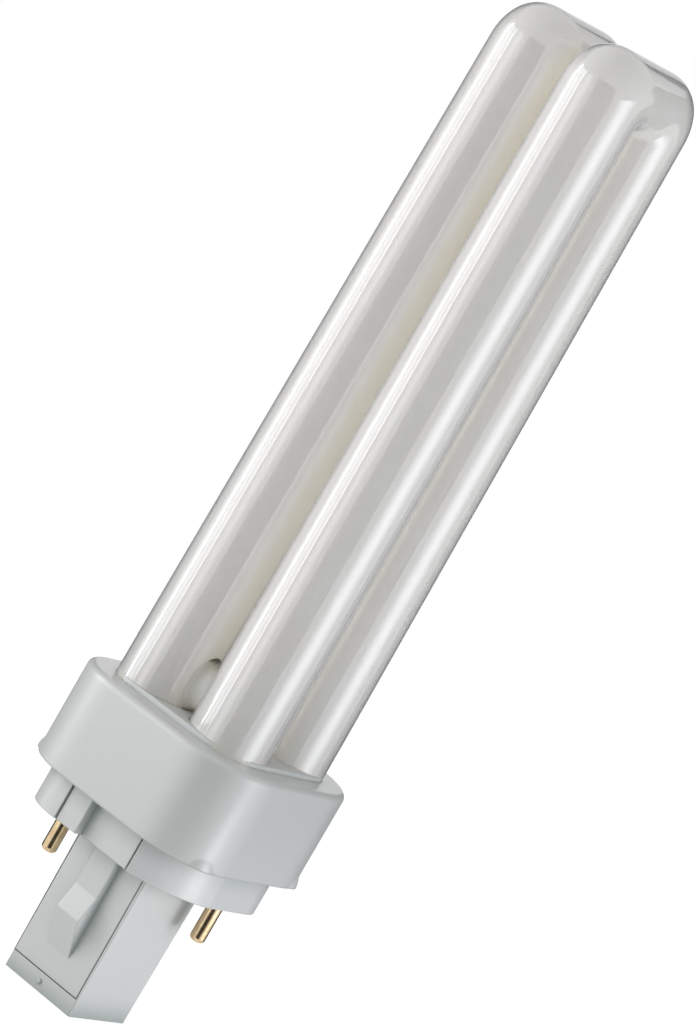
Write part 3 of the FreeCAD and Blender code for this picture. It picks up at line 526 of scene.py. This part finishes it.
@dataclass(frozen=True)
class FusedGlass(Finish):
    """Glass melted together at the bridge, where the powder is thin and the wall is thick.

    The colours run up the bridge over the reach below and above its level, with painted shade
    at both ends where the gap between the legs opens. Level and reach are in millimetres.
    """

    level: float
    reach: float = 4.5
    name: str = "fused_glass"
    # Near-black painted shade where the gap between the legs opens, at both ends of the bridge.
    bare: Colour = (0.20, 0.21, 0.17)
    thin: Colour = (0.86, 0.85, 0.77)
    warm: Colour = (0.94, 0.93, 0.87)
    pale: Colour = (0.95, 0.95, 0.935)
    lower_stops: tuple[float, ...] = (0.07, 0.12, 0.22, 0.42)
    upper_stops: tuple[float, ...] = (0.66, 0.84, 0.93, 0.98)
    ragged: Cloud = Cloud(900.0)
    ragged_share: float = 0.08
    roughness: float = 0.42
    powder_gloss: float = 0.25
    glass_share: float = 0.6
    glass_roughness: float = 0.03
    glass_ior: float = 1.6
    glass_wave: Relief = Relief(Cloud(420.0, 1.0, (1.0, 1.0, 0.5)), 0.0003, 0.3)
    glow_share: float = 0.34

    def make(self) -> bpy.types.Material:
        """Builds the material: powder that darkens into painted shade at both ends, under wavy
        glass.

        Returns:
            The material.
        """
        nodes = NodeTree.material(self.name)
        scale = 0.5 / (self.reach * MM)
        centred = nodes.add("ShaderNodeMapping", vector_type="POINT", Scale=(scale,) * 3,
                            Location=(0.5, 0.5, 0.5 - self.level * MM * scale), Vector=nodes.place)
        split = nodes.add("ShaderNodeSeparateXYZ", Vector=centred.outputs["Vector"])
        height = nodes.calculate("MULTIPLY_ADD", nodes.noise(self.ragged), self.ragged_share,
                                 split.outputs["Z"])
        # The darkest colour, at both ends of the ramp, is painted shade of the gap between the
        # legs.
        colours = (self.bare, self.thin, self.warm, self.pale)
        colour = nodes.ramp(height, [*zip(self.lower_stops, colours),
                                     *zip(self.upper_stops, colours[::-1])])
        coat = nodes.surface(
            Base_Color=colour, Roughness=self.roughness, Specular_IOR_Level=self.powder_gloss,
            Coat_Weight=self.glass_share, Coat_Roughness=self.glass_roughness,
            Coat_IOR=self.glass_ior, Coat_Normal=nodes.raised(self.glass_wave))
        return nodes.finished(nodes.mix(self.glow_share, coat, nodes.glow(colour)))


@dataclass(frozen=True)
class MouldedPlastic(Finish):
    """Satin thermoplastic with a fine spark-eroded grain, soft edges and painted shade in its inner
    corners.
    """

    name: str
    light: Colour
    dark: Colour
    corner_dust: Colour
    dust_reach: float
    edge_radius: float = 0.0003
    dust_span: Range = (0.35, 0.95)
    tint: Cloud = Cloud(45.0)
    tint_span: Range = (0.35, 0.65)
    gloss: float = 0.9
    roughness: Range = (0.28, 0.30)
    rough_patches: Cloud = Cloud(300.0)
    grain: Relief = Relief(Cloud(9000.0), 0.0000008, 0.35)

    def make(self) -> bpy.types.Material:
        """Builds the material: a faintly uneven tint, painted shade in the inner corners, fine
        grain.

        Returns:
            The material.
        """
        nodes = NodeTree.material(self.name)
        tint = nodes.fade(nodes.noise(self.tint), self.tint_span, self.dark, self.light)
        openness = nodes.openness(self.dust_reach)
        # Painted shade: inner corners and recesses darken in the colour as surfaces come within the
        # reach.
        painted_corner_shade = nodes.fade(openness, self.dust_span, self.corner_dust, WHITE)
        edge = nodes.add("ShaderNodeBevel", samples=RAY_SAMPLES, Radius=self.edge_radius)
        return nodes.finished(nodes.surface(
            Base_Color=nodes.multiply(tint, painted_corner_shade), Specular_IOR_Level=self.gloss,
            Roughness=nodes.between(nodes.noise(self.rough_patches), *self.roughness),
            Normal=nodes.raised(self.grain, edge.outputs["Normal"])))


@dataclass(frozen=True)
class TurnedMetal(Finish):
    """Bright metal with fine marks around the lamp's axis."""

    name: str
    light: Colour
    dark: Colour
    roughness: float = 0.16
    rough_factors: Range = (0.7, 1.6)
    tarnish: Cloud = Cloud(900.0, 3.0)
    tarnish_span: Range = (0.35, 0.7)
    marks: Relief = Relief(Cloud(2500.0, 2.0, (1.0, 1.0, 6.0)), 0.00001, 0.3)

    def make(self) -> bpy.types.Material:
        """Builds the material: slight tarnish and turning marks.

        Returns:
            The material.
        """
        nodes = NodeTree.material(self.name)
        marks, tarnish = nodes.noise(self.marks.cloud), nodes.noise(self.tarnish)
        smoothest, roughest = (self.roughness * factor for factor in self.rough_factors)
        return nodes.finished(nodes.surface(
            Base_Color=nodes.fade(tarnish, self.tarnish_span, self.dark, self.light),
            Metallic=1.0, Roughness=nodes.between(marks, smoothest, roughest),
            Normal=nodes.bump(marks, self.marks)))


@dataclass(frozen=True)
class CloudyCoat(Finish):
    """An uneven tint with a raised pattern of its own, such as cement or dipped resin."""

    name: str
    light: Colour
    dark: Colour
    tint: Cloud
    roughness: float
    surface: Relief
    tint_span: Range = (0.3, 0.7)

    def make(self) -> bpy.types.Material:
        """Builds the material: cloudy tint and its relief.

        Returns:
            The material.
        """
        nodes = NodeTree.material(self.name)
        return nodes.finished(nodes.surface(
            Base_Color=nodes.fade(nodes.noise(self.tint), self.tint_span, self.dark, self.light),
            Roughness=self.roughness, Normal=nodes.raised(self.surface)))


@dataclass(frozen=True)
class BottleGlass(Finish):
    """Clear glass with faint waves, for the starter's bottle."""

    name: str = "clear_glass"
    tint: Colour = (0.90, 0.94, 0.93)
    roughness: float = 0.05
    ior: float = 1.5
    wave: Relief = Relief(Cloud(300.0, 1.0), 0.0002, 0.2)

    def make(self) -> bpy.types.Material:
        """Builds the material: transmission with a wavy surface.

        Returns:
            The material.
        """
        nodes = NodeTree.material(self.name)
        return nodes.finished(nodes.surface(
            Base_Color=self.tint, Roughness=self.roughness, IOR=self.ior, Transmission_Weight=1.0,
            Normal=nodes.raised(self.wave)))


# The lamp's sub-assemblies.


class SubAssembly(ABC):
    """A group of the lamp's pieces that is built or dressed together."""

    @abstractmethod
    def build(self, frame: dict) -> list[bpy.types.Object]:
        """Makes or dresses the pieces.

        Args:
            frame: What import_model() returned.

        Returns:
            The pieces.
        """


def dress(frame: dict, finish: Finish, *nodes: str) -> list[bpy.types.Object]:
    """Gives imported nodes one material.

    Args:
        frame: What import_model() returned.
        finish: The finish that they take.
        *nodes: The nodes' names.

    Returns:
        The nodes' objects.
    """
    material = finish.make()
    pieces = [frame["nodes"][node] for node in nodes]
    for piece in pieces:
        piece.data.materials.clear()
        piece.data.materials.append(material)
    return pieces


class FootKind(Enum):
    """How a leg of glass ends inside the holder."""

    PLAIN = "rounded end"
    STEMMED = "rounded end with the melted-off pump stem"
    PRESSED = "flat press around the cathode's leads"


@dataclass
class GlassTubes(SubAssembly):
    """Two U tubes of coated glass with a bridge between their front legs."""

    radius: float = 6.1
    half_pitch: float = 6.95
    top: float = 129.5
    bend_height: float = 10.65
    bend_corner: float = 6.5
    lean: float = 0.0079
    lean_level: float = 61.5
    lean_start: float = 20.0
    lean_fade: float = 1.5
    leg_foot: float = 13.4
    foot_height: float = 3.4
    foot_pole: float = 0.03
    press_height: float = 4.0
    press_half_width: float = 5.2
    press_half_depth: float = 1.6
    press_exponent: float = 5.0
    press_lip: float = 0.90
    stem_radius: float = 1.4
    stem_length: float = 2.4
    stem_pole: float = 0.05
    stem_shoulder: float = 1.3
    bridge_half_depth: float = 1.7
    bridge_half_height: float = 3.3
    bridge_fillet: float = 1.1
    bridge_level: float = 25.7
    bridge_sink: float = 1.2
    bridge_end: float = 4.0
    sink_share: float = 0.9
    end_share: float = 0.05
    segments: int = 128
    bend_sections: int = 97
    leg_sections: int = 40
    foot_sections: int = 25
    stem_sections: int = 8
    bridge_sections: int = 25
    finish: PhosphorGlass = PhosphorGlass()

    def outer_reach(self, out_y: np.ndarray, out_z: np.ndarray) -> np.ndarray:
        """Distance of a bend's outer edge from the line that its sections fan about.

        The edge is a rectangle with round corners. Along a direction it is the flank's or the
        top's distance over that direction's own component, and on a corner it is the larger
        root of the corner circle's equation along the ray.

        Args:
            out_y: Component of the direction away from the middle plane.
            out_z: Component of the direction upwards.

        Returns:
            Distance along each direction, in millimetres.
        """
        reach = self.half_pitch + self.radius
        centre_y, centre_z = reach - self.bend_corner, self.bend_height - self.bend_corner
        flank = reach / np.maximum(out_y, TINY)
        crown = self.bend_height / np.maximum(out_z, TINY)
        along = out_y * centre_y + out_z * centre_z
        inside = along**2 - (centre_y**2 + centre_z**2 - self.bend_corner**2)
        corner = along + np.sqrt(np.maximum(inside, 0.0))
        low = out_z * reach <= out_y * centre_z
        high = out_y * self.bend_height <= out_z * centre_y
        return np.where(low, flank, np.where(high, crown, corner))

    def bend(self, side: int) -> Stations:
        """Sections of one bend, from the front leg over the crown to the rear leg.

        The planes fan about the line y = 0 at the bend's foot. Between the inner edge, half
        the legs' gap away, and the outer edge, the section is an ellipse whose width along X
        stays that of a leg.

        Args:
            side: -1 for the left tube, 1 for the right one.

        Returns:
            The run of sections.
        """
        turn = np.linspace(0.0, math.pi, self.bend_sections)[1:-1]
        out_y, out_z = -np.cos(turn), np.sin(turn)
        outer = self.outer_reach(np.abs(out_y), out_z)
        inner = self.half_pitch - self.radius
        middle = (outer + inner) / 2
        zero, one = np.zeros_like(turn), np.ones_like(turn)
        rise = self.top - self.bend_height + out_z * middle
        return Stations(
            centres=np.stack([one * side * self.half_pitch, out_y * middle, rise], axis=1),
            axis_u=np.stack([one, zero, zero], axis=1),
            axis_v=np.stack([zero, out_y, out_z], axis=1),
            half_u=one * self.radius,
            half_v=(outer - inner) / 2,
            exponent=2 * one,
        )

    def upright(self, x: float, y: float, levels: np.ndarray, half_u: np.ndarray,
                half_v: np.ndarray, exponent: np.ndarray) -> Stations:
        """Level sections of one leg.

        Args:
            x: The leg's axis along X.
            y: The leg's axis along Y.
            levels: Height of each section.
            half_u: Half-width of each section along X.
            half_v: Half-width of each section across it.
            exponent: Squareness of each section.

        Returns:
            The run of sections, whose second axis points away from the middle plane.
        """
        one = np.ones_like(levels)
        return Stations(
            centres=np.stack([one * x, one * y, levels], axis=1),
            axis_u=np.tile([1.0, 0.0, 0.0], (len(levels), 1)),
            axis_v=np.tile([0.0, math.copysign(1.0, y), 0.0], (len(levels), 1)),
            half_u=half_u,
            half_v=half_v,
            exponent=exponent,
        )

    def foot(self, x: float, y: float, kind: FootKind) -> Stations:
        """Sections of a leg's closed end, from its lowest point up to the straight leg.

        A rounded end's radius follows a quarter of an ellipse, a stem adds a narrow round
        rod below it, and a press blends its half-widths from a flat bar to the leg's circle
        by a smooth step. The first ring of a rounded end or a stem lies at its pole angle,
        and a stem meets its end where that is wider than the stem by the shoulder's factor.

        Args:
            x: The leg's axis along X.
            y: The leg's axis along Y.
            kind: Which end the leg has.

        Returns:
            The run of sections, upwards.
        """
        if kind is FootKind.PRESSED:
            share = np.linspace(0.0, 1.0, self.foot_sections)
            step = share**2 * (3 - 2 * share)
            levels = self.leg_foot - self.press_height * (1 - share)
            lip = np.minimum(1.0, self.press_lip + share * 2)
            half_u = (self.press_half_width + (self.radius - self.press_half_width) * step) * lip
            half_v = (self.press_half_depth + (self.radius - self.press_half_depth) * step) * lip
            exponent = self.press_exponent + (2.0 - self.press_exponent) * step
            return self.upright(x, y, levels, half_u, half_v, exponent)
        angle = np.linspace(self.foot_pole, math.pi / 2, self.foot_sections)
        levels = self.leg_foot - self.foot_height * np.cos(angle)
        half = self.radius * np.sin(angle)
        if kind is FootKind.STEMMED:
            tip = np.linspace(self.stem_pole, math.pi / 2, self.stem_sections)
            stem = self.leg_foot - self.foot_height - self.stem_length
            rise = stem + self.stem_radius * (1 - np.cos(tip))
            keep = half > self.stem_radius * self.stem_shoulder
            levels = np.concatenate([rise, [stem + self.stem_length], levels[keep]])
            half = np.concatenate([self.stem_radius * np.sin(tip), [self.stem_radius], half[keep]])
        return self.upright(x, y, levels, half, half, np.full_like(half, 2.0))

    def leg(self, x: float, y: float, kind: FootKind) -> Stations:
        """Sections of one leg with its foot.

        Args:
            x: The leg's axis along X.
            y: The leg's axis along Y.
            kind: Which end the leg has.

        Returns:
            The run of sections, upwards to the bend.
        """
        levels = np.linspace(self.leg_foot, self.top - self.bend_height, self.leg_sections)[1:]
        half = np.full_like(levels, self.radius)
        straight = self.upright(x, y, levels, half, half, np.full_like(levels, 2.0))
        return join_stations([self.foot(x, y, kind), straight])

    def u_tube(self, side: int) -> np.ndarray:
        """Grid of one U tube with both closed feet.

        Args:
            side: -1 for the left tube, 1 for the right one.

        Returns:
            Array of sections by segments by 3.
        """
        x = side * self.half_pitch
        front = self.leg(x, -self.half_pitch, FootKind.STEMMED if side < 0 else FootKind.PLAIN)
        rear = self.leg(x, self.half_pitch, FootKind.PRESSED)
        return join_stations([front, self.bend(side), rear.turned_round()]).grid(self.segments)

    def oval_on_leg(self, margin: float) -> np.ndarray:
        """Points of the right leg's skin on the bridge's oval, widened by a margin.

        At each angle Y is the oval's half-depth times the cosine, Z its half-height times the
        sine, and X is where the leg's circle stands at that Y.

        Args:
            margin: What both half-widths of the oval gain.

        Returns:
            Array of segments by 3, with the bridge's axis along X through the origin.
        """
        turn = np.linspace(0.0, 2 * math.pi, self.segments, endpoint=False)
        across = (self.bridge_half_depth + margin) * np.cos(turn)
        x = self.half_pitch - np.sqrt(np.maximum(self.radius**2 - across**2, 0.0))
        return np.stack([x, across, (self.bridge_half_height + margin) * np.sin(turn)], axis=1)

    def bridge(self) -> np.ndarray:
        """Grid of the bridge, a short oval tube that flows out onto both front legs.

        At each angle around its axis the line from leg to leg is made of two quadratic
        curves. Each starts at the waist along X, is drawn to where the plain oval would
        enter the leg's cylinder, and ends on that cylinder one fillet further out. From
        there a straight stretch leads into the glass, almost to the bridge's axis.

        Returns:
            Array of sections by segments by 3.
        """
        share = np.linspace(0.0, 1.0, self.bridge_sections)[:, None, None]
        corner, foot = self.oval_on_leg(0.0), self.oval_on_leg(self.bridge_fillet)
        waist = corner * np.array([0.0, 1.0, 1.0])
        curve = (1 - share) ** 2 * waist + 2 * share * (1 - share) * corner + share**2 * foot
        sunk = foot * np.array([1.0, self.sink_share, self.sink_share])
        sunk += np.array([self.bridge_sink, 0.0, 0.0])
        end = foot * np.array([0.0, self.end_share, self.end_share])
        end += np.array([self.bridge_end, 0.0, 0.0])
        right = np.concatenate([curve, sunk[None], end[None]])
        left = right[::-1] * np.array([-1.0, 1.0, 1.0])
        whole = np.concatenate([left[:-1], right])
        return whole + np.array([0.0, -self.half_pitch, self.bridge_level])

    def leaned(self, points: np.ndarray) -> np.ndarray:
        """Moves points towards the lamp's axis in step with their height.

        The legs lean together a little. The move is the lean times the height above a level,
        along X and Y, times each coordinate over the root of its square plus the fade
        squared, which is its sign away from the middle planes and fades to nothing on them.

        Args:
            points: Array whose last axis is X, Y, Z.

        Returns:
            The moved points.
        """
        move = self.lean * (np.maximum(points[..., 2:], self.lean_start) - self.lean_level)
        flat = points[..., :2]
        moved = flat - move * flat / np.sqrt(flat**2 + self.lean_fade**2)
        return np.concatenate([moved, points[..., 2:]], axis=-1)

    def build(self, frame: dict) -> list[bpy.types.Object]:
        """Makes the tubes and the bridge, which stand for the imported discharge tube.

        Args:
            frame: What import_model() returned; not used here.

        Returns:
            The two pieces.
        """
        tubes = mesh_object("coated_glass", [
            closed_skin(self.leaned(self.u_tube(side))) for side in (-1, 1)])
        tubes.data.materials.append(self.finish.make())
        bridge = mesh_object("bridge_glass", [closed_skin(self.leaned(self.bridge()))])
        bridge.data.materials.append(FusedGlass(self.bridge_level).make())
        for piece in (tubes, bridge):
            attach(piece, "root")
            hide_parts("discharge_tube")
        return [tubes, bridge]


@dataclass
class Mouldings(SubAssembly):
    """The tube holder, the plug housing and its starter cover."""

    # Each moulding's corner colour is painted shade for its inner corners and recesses.
    holder: MouldedPlastic = MouldedPlastic(
        "holder_plastic", light=(0.765, 0.78, 0.775), dark=(0.755, 0.77, 0.765),
        corner_dust=(0.88, 0.91, 0.90), dust_reach=0.0015, edge_radius=0.0006)
    plug: MouldedPlastic = MouldedPlastic(
        "plug_plastic", light=(0.785, 0.80, 0.80), dark=(0.775, 0.79, 0.79),
        corner_dust=(0.50, 0.57, 0.54), dust_reach=0.004)

    def build(self, frame: dict) -> list[bpy.types.Object]:
        """Gives the mouldings their finishes.

        Args:
            frame: What import_model() returned.

        Returns:
            The mouldings.
        """
        return (dress(frame, self.holder, "tube_holder")
                + dress(frame, self.plug, "plug_housing", "starter_cover"))


@dataclass
class ContactPins(SubAssembly):
    """The two hollow pins of polished brass."""

    brass: TurnedMetal = TurnedMetal(
        "pin_brass", light=(0.74, 0.58, 0.36), dark=(0.60, 0.44, 0.26))

    def build(self, frame: dict) -> list[bpy.types.Object]:
        """Gives the pins their finish.

        Args:
            frame: What import_model() returned.

        Returns:
            The pins.
        """
        return dress(frame, self.brass, "contact_pin_a", "contact_pin_b")


@dataclass
class StarterAndLeads(SubAssembly):
    """The parts that the plug hides: cement, starter, capacitor, sleeves and leads."""

    cement: CloudyCoat = CloudyCoat(
        "lamp_cement", light=(0.74, 0.71, 0.64), dark=(0.60, 0.57, 0.50), tint=Cloud(400.0, 5.0),
        roughness=0.9, surface=Relief(Cloud(3000.0, 4.0), 0.0001, 0.6))
    resin: CloudyCoat = CloudyCoat(
        "capacitor_coat", light=(0.55, 0.30, 0.12), dark=(0.42, 0.21, 0.08), tint=Cloud(500.0, 3.0),
        roughness=0.28, surface=Relief(Cloud(700.0), 0.00008, 0.4))
    glass: BottleGlass = BottleGlass()
    sleeve: TurnedMetal = TurnedMetal(
        "sleeve_metal", light=(0.78, 0.71, 0.52), dark=(0.68, 0.60, 0.42), roughness=0.3)
    wire: TurnedMetal = TurnedMetal(
        "lead_metal", light=(0.68, 0.66, 0.63), dark=(0.58, 0.56, 0.53), roughness=0.3)

    def build(self, frame: dict) -> list[bpy.types.Object]:
        """Gives each hidden piece its finish.

        Args:
            frame: What import_model() returned.

        Returns:
            The hidden pieces.
        """
        wires = [f"{stem}_{letter}" for letter in "ab"
                 for stem in ("starter_leg", "pin_lead", "starter_lead", "capacitor_lead")]
        return (dress(frame, self.cement, "seating_cement")
                + dress(frame, self.resin, "suppressor_capacitor")
                + dress(frame, self.glass, "starter_bottle")
                + dress(frame, self.sleeve, "splice_sleeve_a", "splice_sleeve_b")
                + dress(frame, self.wire, "starter_bimetal", *wires))


# The studio.


def around(azimuth: float) -> Vector:
    """Gives the level direction at an azimuth in degrees, from -Y towards +X."""
    return Vector((math.sin(math.radians(azimuth)), -math.cos(math.radians(azimuth)), 0.0))


@dataclass(frozen=True)
class Panel:
    """An upright rectangle that faces the lamp's axis.

    Its middle stands at an azimuth in degrees and a distance from the axis, and it reaches
    from the low level to the high one.
    """

    name: str
    azimuth: float
    distance: float
    width: float
    low: float
    high: float


@dataclass(frozen=True)
class Softbox(Panel):
    """A lit panel.

    Radiance is how bright the panel looks in a mirror. The soft edge is the share of its
    width, at either side, over which it fades to black. The spread, in degrees, is how wide
    it throws its light. A panel that isn't mirrored lights the lamp without showing in its
    gloss.
    """

    radiance: float
    tint: Colour = WHITE
    soft_edge: float = 0.0
    spread: float = 180.0
    mirrored: bool = True

    def build(self) -> bpy.types.Object:
        """Makes the area light.

        Returns:
            The light's object.
        """
        height = self.high - self.low
        data = bpy.data.lights.new(self.name, "AREA")
        data.shape = "RECTANGLE"
        data.size, data.size_y = self.width, height
        data.energy = self.radiance * math.pi * self.width * height
        data.color = self.tint
        data.spread = math.radians(self.spread)
        if self.soft_edge > 0:
            self.soften(data)
        light = add_object(self.name, data)
        outward = around(self.azimuth)
        light.location = outward * self.distance + Vector((0.0, 0.0, (self.low + self.high) / 2))
        light.rotation_mode = "QUATERNION"
        light.rotation_quaternion = outward.to_track_quat("Z", "Y")
        light.visible_camera = False
        light.visible_glossy = self.mirrored
        return light

    def soften(self, data: bpy.types.Light) -> None:
        """Fades the panel to black at its upright edges.

        Across the panel the place u runs from 0 to 1, and its light is a smooth step of
        0.5 - |u - 0.5| over the soft edge.

        Args:
            data: The light's data.
        """
        nodes = NodeTree(data)
        place = nodes.add("ShaderNodeNewGeometry").outputs["Parametric"]
        across = nodes.add("ShaderNodeSeparateXYZ", Vector=place).outputs["X"]
        aside = nodes.calculate("ABSOLUTE", nodes.calculate("SUBTRACT", across, 0.5))
        step = nodes.add("ShaderNodeMapRange", interpolation_type="SMOOTHSTEP", Value=aside,
                         From_Min=0.5, From_Max=0.5 - self.soft_edge)
        lamp = nodes.add("ShaderNodeEmission", Strength=step.outputs["Result"])
        nodes.finished(lamp.outputs["Emission"])


@dataclass(frozen=True)
class Flag(Panel):
    """A black card out of view, which draws dark lines and bands in the lamp's gloss.

    Only reflections see it, so it takes no light from the lamp.
    """

    def build(self, black: bpy.types.Material) -> bpy.types.Object:
        """Makes the card.

        Args:
            black: The card's material.

        Returns:
            The card's object.
        """
        outward = around(self.azimuth)
        across = outward.cross(Vector((0.0, 0.0, -1.0))) * self.width / 2
        ends = ((-1, self.low), (1, self.low), (1, self.high), (-1, self.high))
        corners = [outward * self.distance + side * across + Vector((0.0, 0.0, level))
                   for side, level in ends]
        mesh = bpy.data.meshes.new(self.name)
        mesh.from_pydata(corners, [], [(0, 1, 2, 3)])
        mesh.materials.append(black)
        card = add_object(self.name, mesh)
        card.visible_camera = False
        card.visible_diffuse = False
        card.visible_shadow = False
        card.visible_transmission = False
        return card


@dataclass
class Studio:
    """Camera, pale floor, white backdrop and the panels of light."""

    floor_level: float = -0.0230
    floor_radius: float = 0.26
    floor_segments: int = 128
    floor_colour: Colour = (0.80, 0.80, 0.80)
    floor_glow: float = 0.66
    card_colour: Colour = (0.05, 0.06, 0.08)
    ambient: float = 0.34
    backdrop: float = 1.0
    camera_place: Point = (0.31955, -0.49989, 0.13931)
    camera_azimuth: float = 32.533
    camera_elevation: float = 8.017
    camera_roll: float = 30.061
    lens: float = 153.81
    sensor: float = 36.0
    sight: Range = (0.01, 20.0)
    panels: tuple[Softbox, ...] = (
        Softbox("left_softbox", -51.0, 0.50, 0.40, -0.072, 0.30, 1.75, soft_edge=0.12),
        Softbox("left_band", -60.0, 0.49, 0.06, -0.072, 0.32, 5.6, soft_edge=0.25),
        Softbox("left_tube_near", -34.0, 0.49, 0.022, -0.072, 0.32, 2.2),
        Softbox("left_tube_far", -47.0, 0.49, 0.026, -0.072, 0.32, 1.4),
        Softbox("left_fill", -16.0, 0.52, 0.28, -0.11, 0.30, 1.25, soft_edge=0.45),
        Softbox("right_softbox", 102.0, 0.50, 0.52, -0.11, 0.24, 3.1, (0.945, 0.97, 1.0), 0.5),
        Softbox("rear_softbox", 212.0, 0.60, 0.50, -0.10, 0.30, 2.0, mirrored=False),
        Softbox("low_right_card", 100.0, 0.12, 0.10, -0.022, -0.004, 0.45, (0.97, 0.985, 1.0),
                spread=32.0),
    )
    flags: tuple[Flag, ...] = (
        Flag("left_flag", 251.0, 0.55, 0.60, -0.30, 0.45),
        Flag("right_flag", 174.0, 0.55, 0.60, -0.30, 0.45),
        Flag("camera_flag", 35.0, 0.70, 0.72, -0.30, 0.45),
    )

    def build_camera(self) -> None:
        """Sets the camera at the photograph's angle.

        Its axes are right, up and back, where back points from the lamp to the camera, and
        they are then turned about back by the roll.
        """
        data = bpy.data.cameras.new("camera")
        data.lens = self.lens
        data.sensor_width = self.sensor
        data.sensor_fit = "AUTO"
        data.clip_start, data.clip_end = self.sight
        camera = add_object("camera", data)
        elevation = math.radians(self.camera_elevation)
        back = around(self.camera_azimuth) * math.cos(elevation)
        back.z = math.sin(elevation)
        right = Vector((0.0, 0.0, 1.0)).cross(back).normalized()
        level = Matrix((right, back.cross(right), back)).transposed()
        roll = Matrix.Rotation(math.radians(self.camera_roll), 3, "Z")
        place = Matrix.Translation(Vector(self.camera_place))
        camera.matrix_world = place @ (level @ roll).to_4x4()
        bpy.context.scene.camera = camera

    def build_world(self) -> None:
        """Lights the lamp from all round; camera, gloss and clear glass see white."""
        world = bpy.data.worlds.new("studio_air")
        nodes = NodeTree(world)
        rays = nodes.add("ShaderNodeLightPath").outputs
        seen = nodes.calculate("MAXIMUM", rays["Is Camera Ray"], rays["Is Transmission Ray"])
        seen = nodes.calculate("MAXIMUM", seen, rays["Is Glossy Ray"])
        air, white = (
            nodes.add("ShaderNodeBackground", Color=WHITE, Strength=strength).outputs["Background"]
            for strength in (self.ambient, self.backdrop))
        nodes.finished(nodes.mix(seen, air, white))
        bpy.context.scene.world = world

    def build_floor(self) -> None:
        """Makes the round floor; it shades to white for the camera and keeps the shadow."""
        turn = np.linspace(0.0, 2 * math.pi, self.floor_segments, endpoint=False)
        ring = np.stack([np.cos(turn) * self.floor_radius, np.sin(turn) * self.floor_radius,
                         np.full_like(turn, self.floor_level)], axis=1)
        mesh = bpy.data.meshes.new("studio_floor")
        mesh.from_pydata(ring.tolist(), [], [list(range(len(ring)))])
        mesh.update()
        floor = add_object("studio_floor", mesh)
        nodes = NodeTree.material("pale_floor")
        diffuse = nodes.add("ShaderNodeBsdfDiffuse", Color=self.floor_colour).outputs["BSDF"]
        glow = nodes.add("ShaderNodeEmission", Strength=self.floor_glow).outputs["Emission"]
        lit = nodes.add("ShaderNodeAddShader")
        nodes.link(diffuse, lit.inputs[0])
        nodes.link(glow, lit.inputs[1])
        seen = nodes.add("ShaderNodeLightPath").outputs["Is Camera Ray"]
        mesh.materials.append(nodes.finished(nodes.mix(seen, diffuse, lit.outputs["Shader"])))
        floor.visible_glossy = False

    def build(self) -> None:
        """Makes the camera, the surroundings and the lights."""
        bpy.context.scene.view_settings.view_transform = "Standard"
        self.build_camera()
        self.build_world()
        self.build_floor()
        for panel in self.panels:
            log.info("lit %s", panel.build().name)
        nodes = NodeTree.material("black_card")
        card = nodes.add("ShaderNodeBsdfDiffuse", Color=self.card_colour).outputs["BSDF"]
        black = nodes.finished(card)
        for flag in self.flags:
            log.info("stood %s", flag.build(black).name)


def main() -> None:
    """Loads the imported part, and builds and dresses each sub-assembly."""
    logging.basicConfig(level=logging.INFO, format="%(message)s")
    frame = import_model()
    for group in (GlassTubes(), Mouldings(), ContactPins(), StarterAndLeads()):
        for piece in group.build(frame):
            log.info("%s: %s, %d faces, in %s", type(group).__name__, piece.name,
                     len(piece.data.polygons), piece.data.materials[0].name)
    Studio().build()


if __name__ == "__main__":
    main()
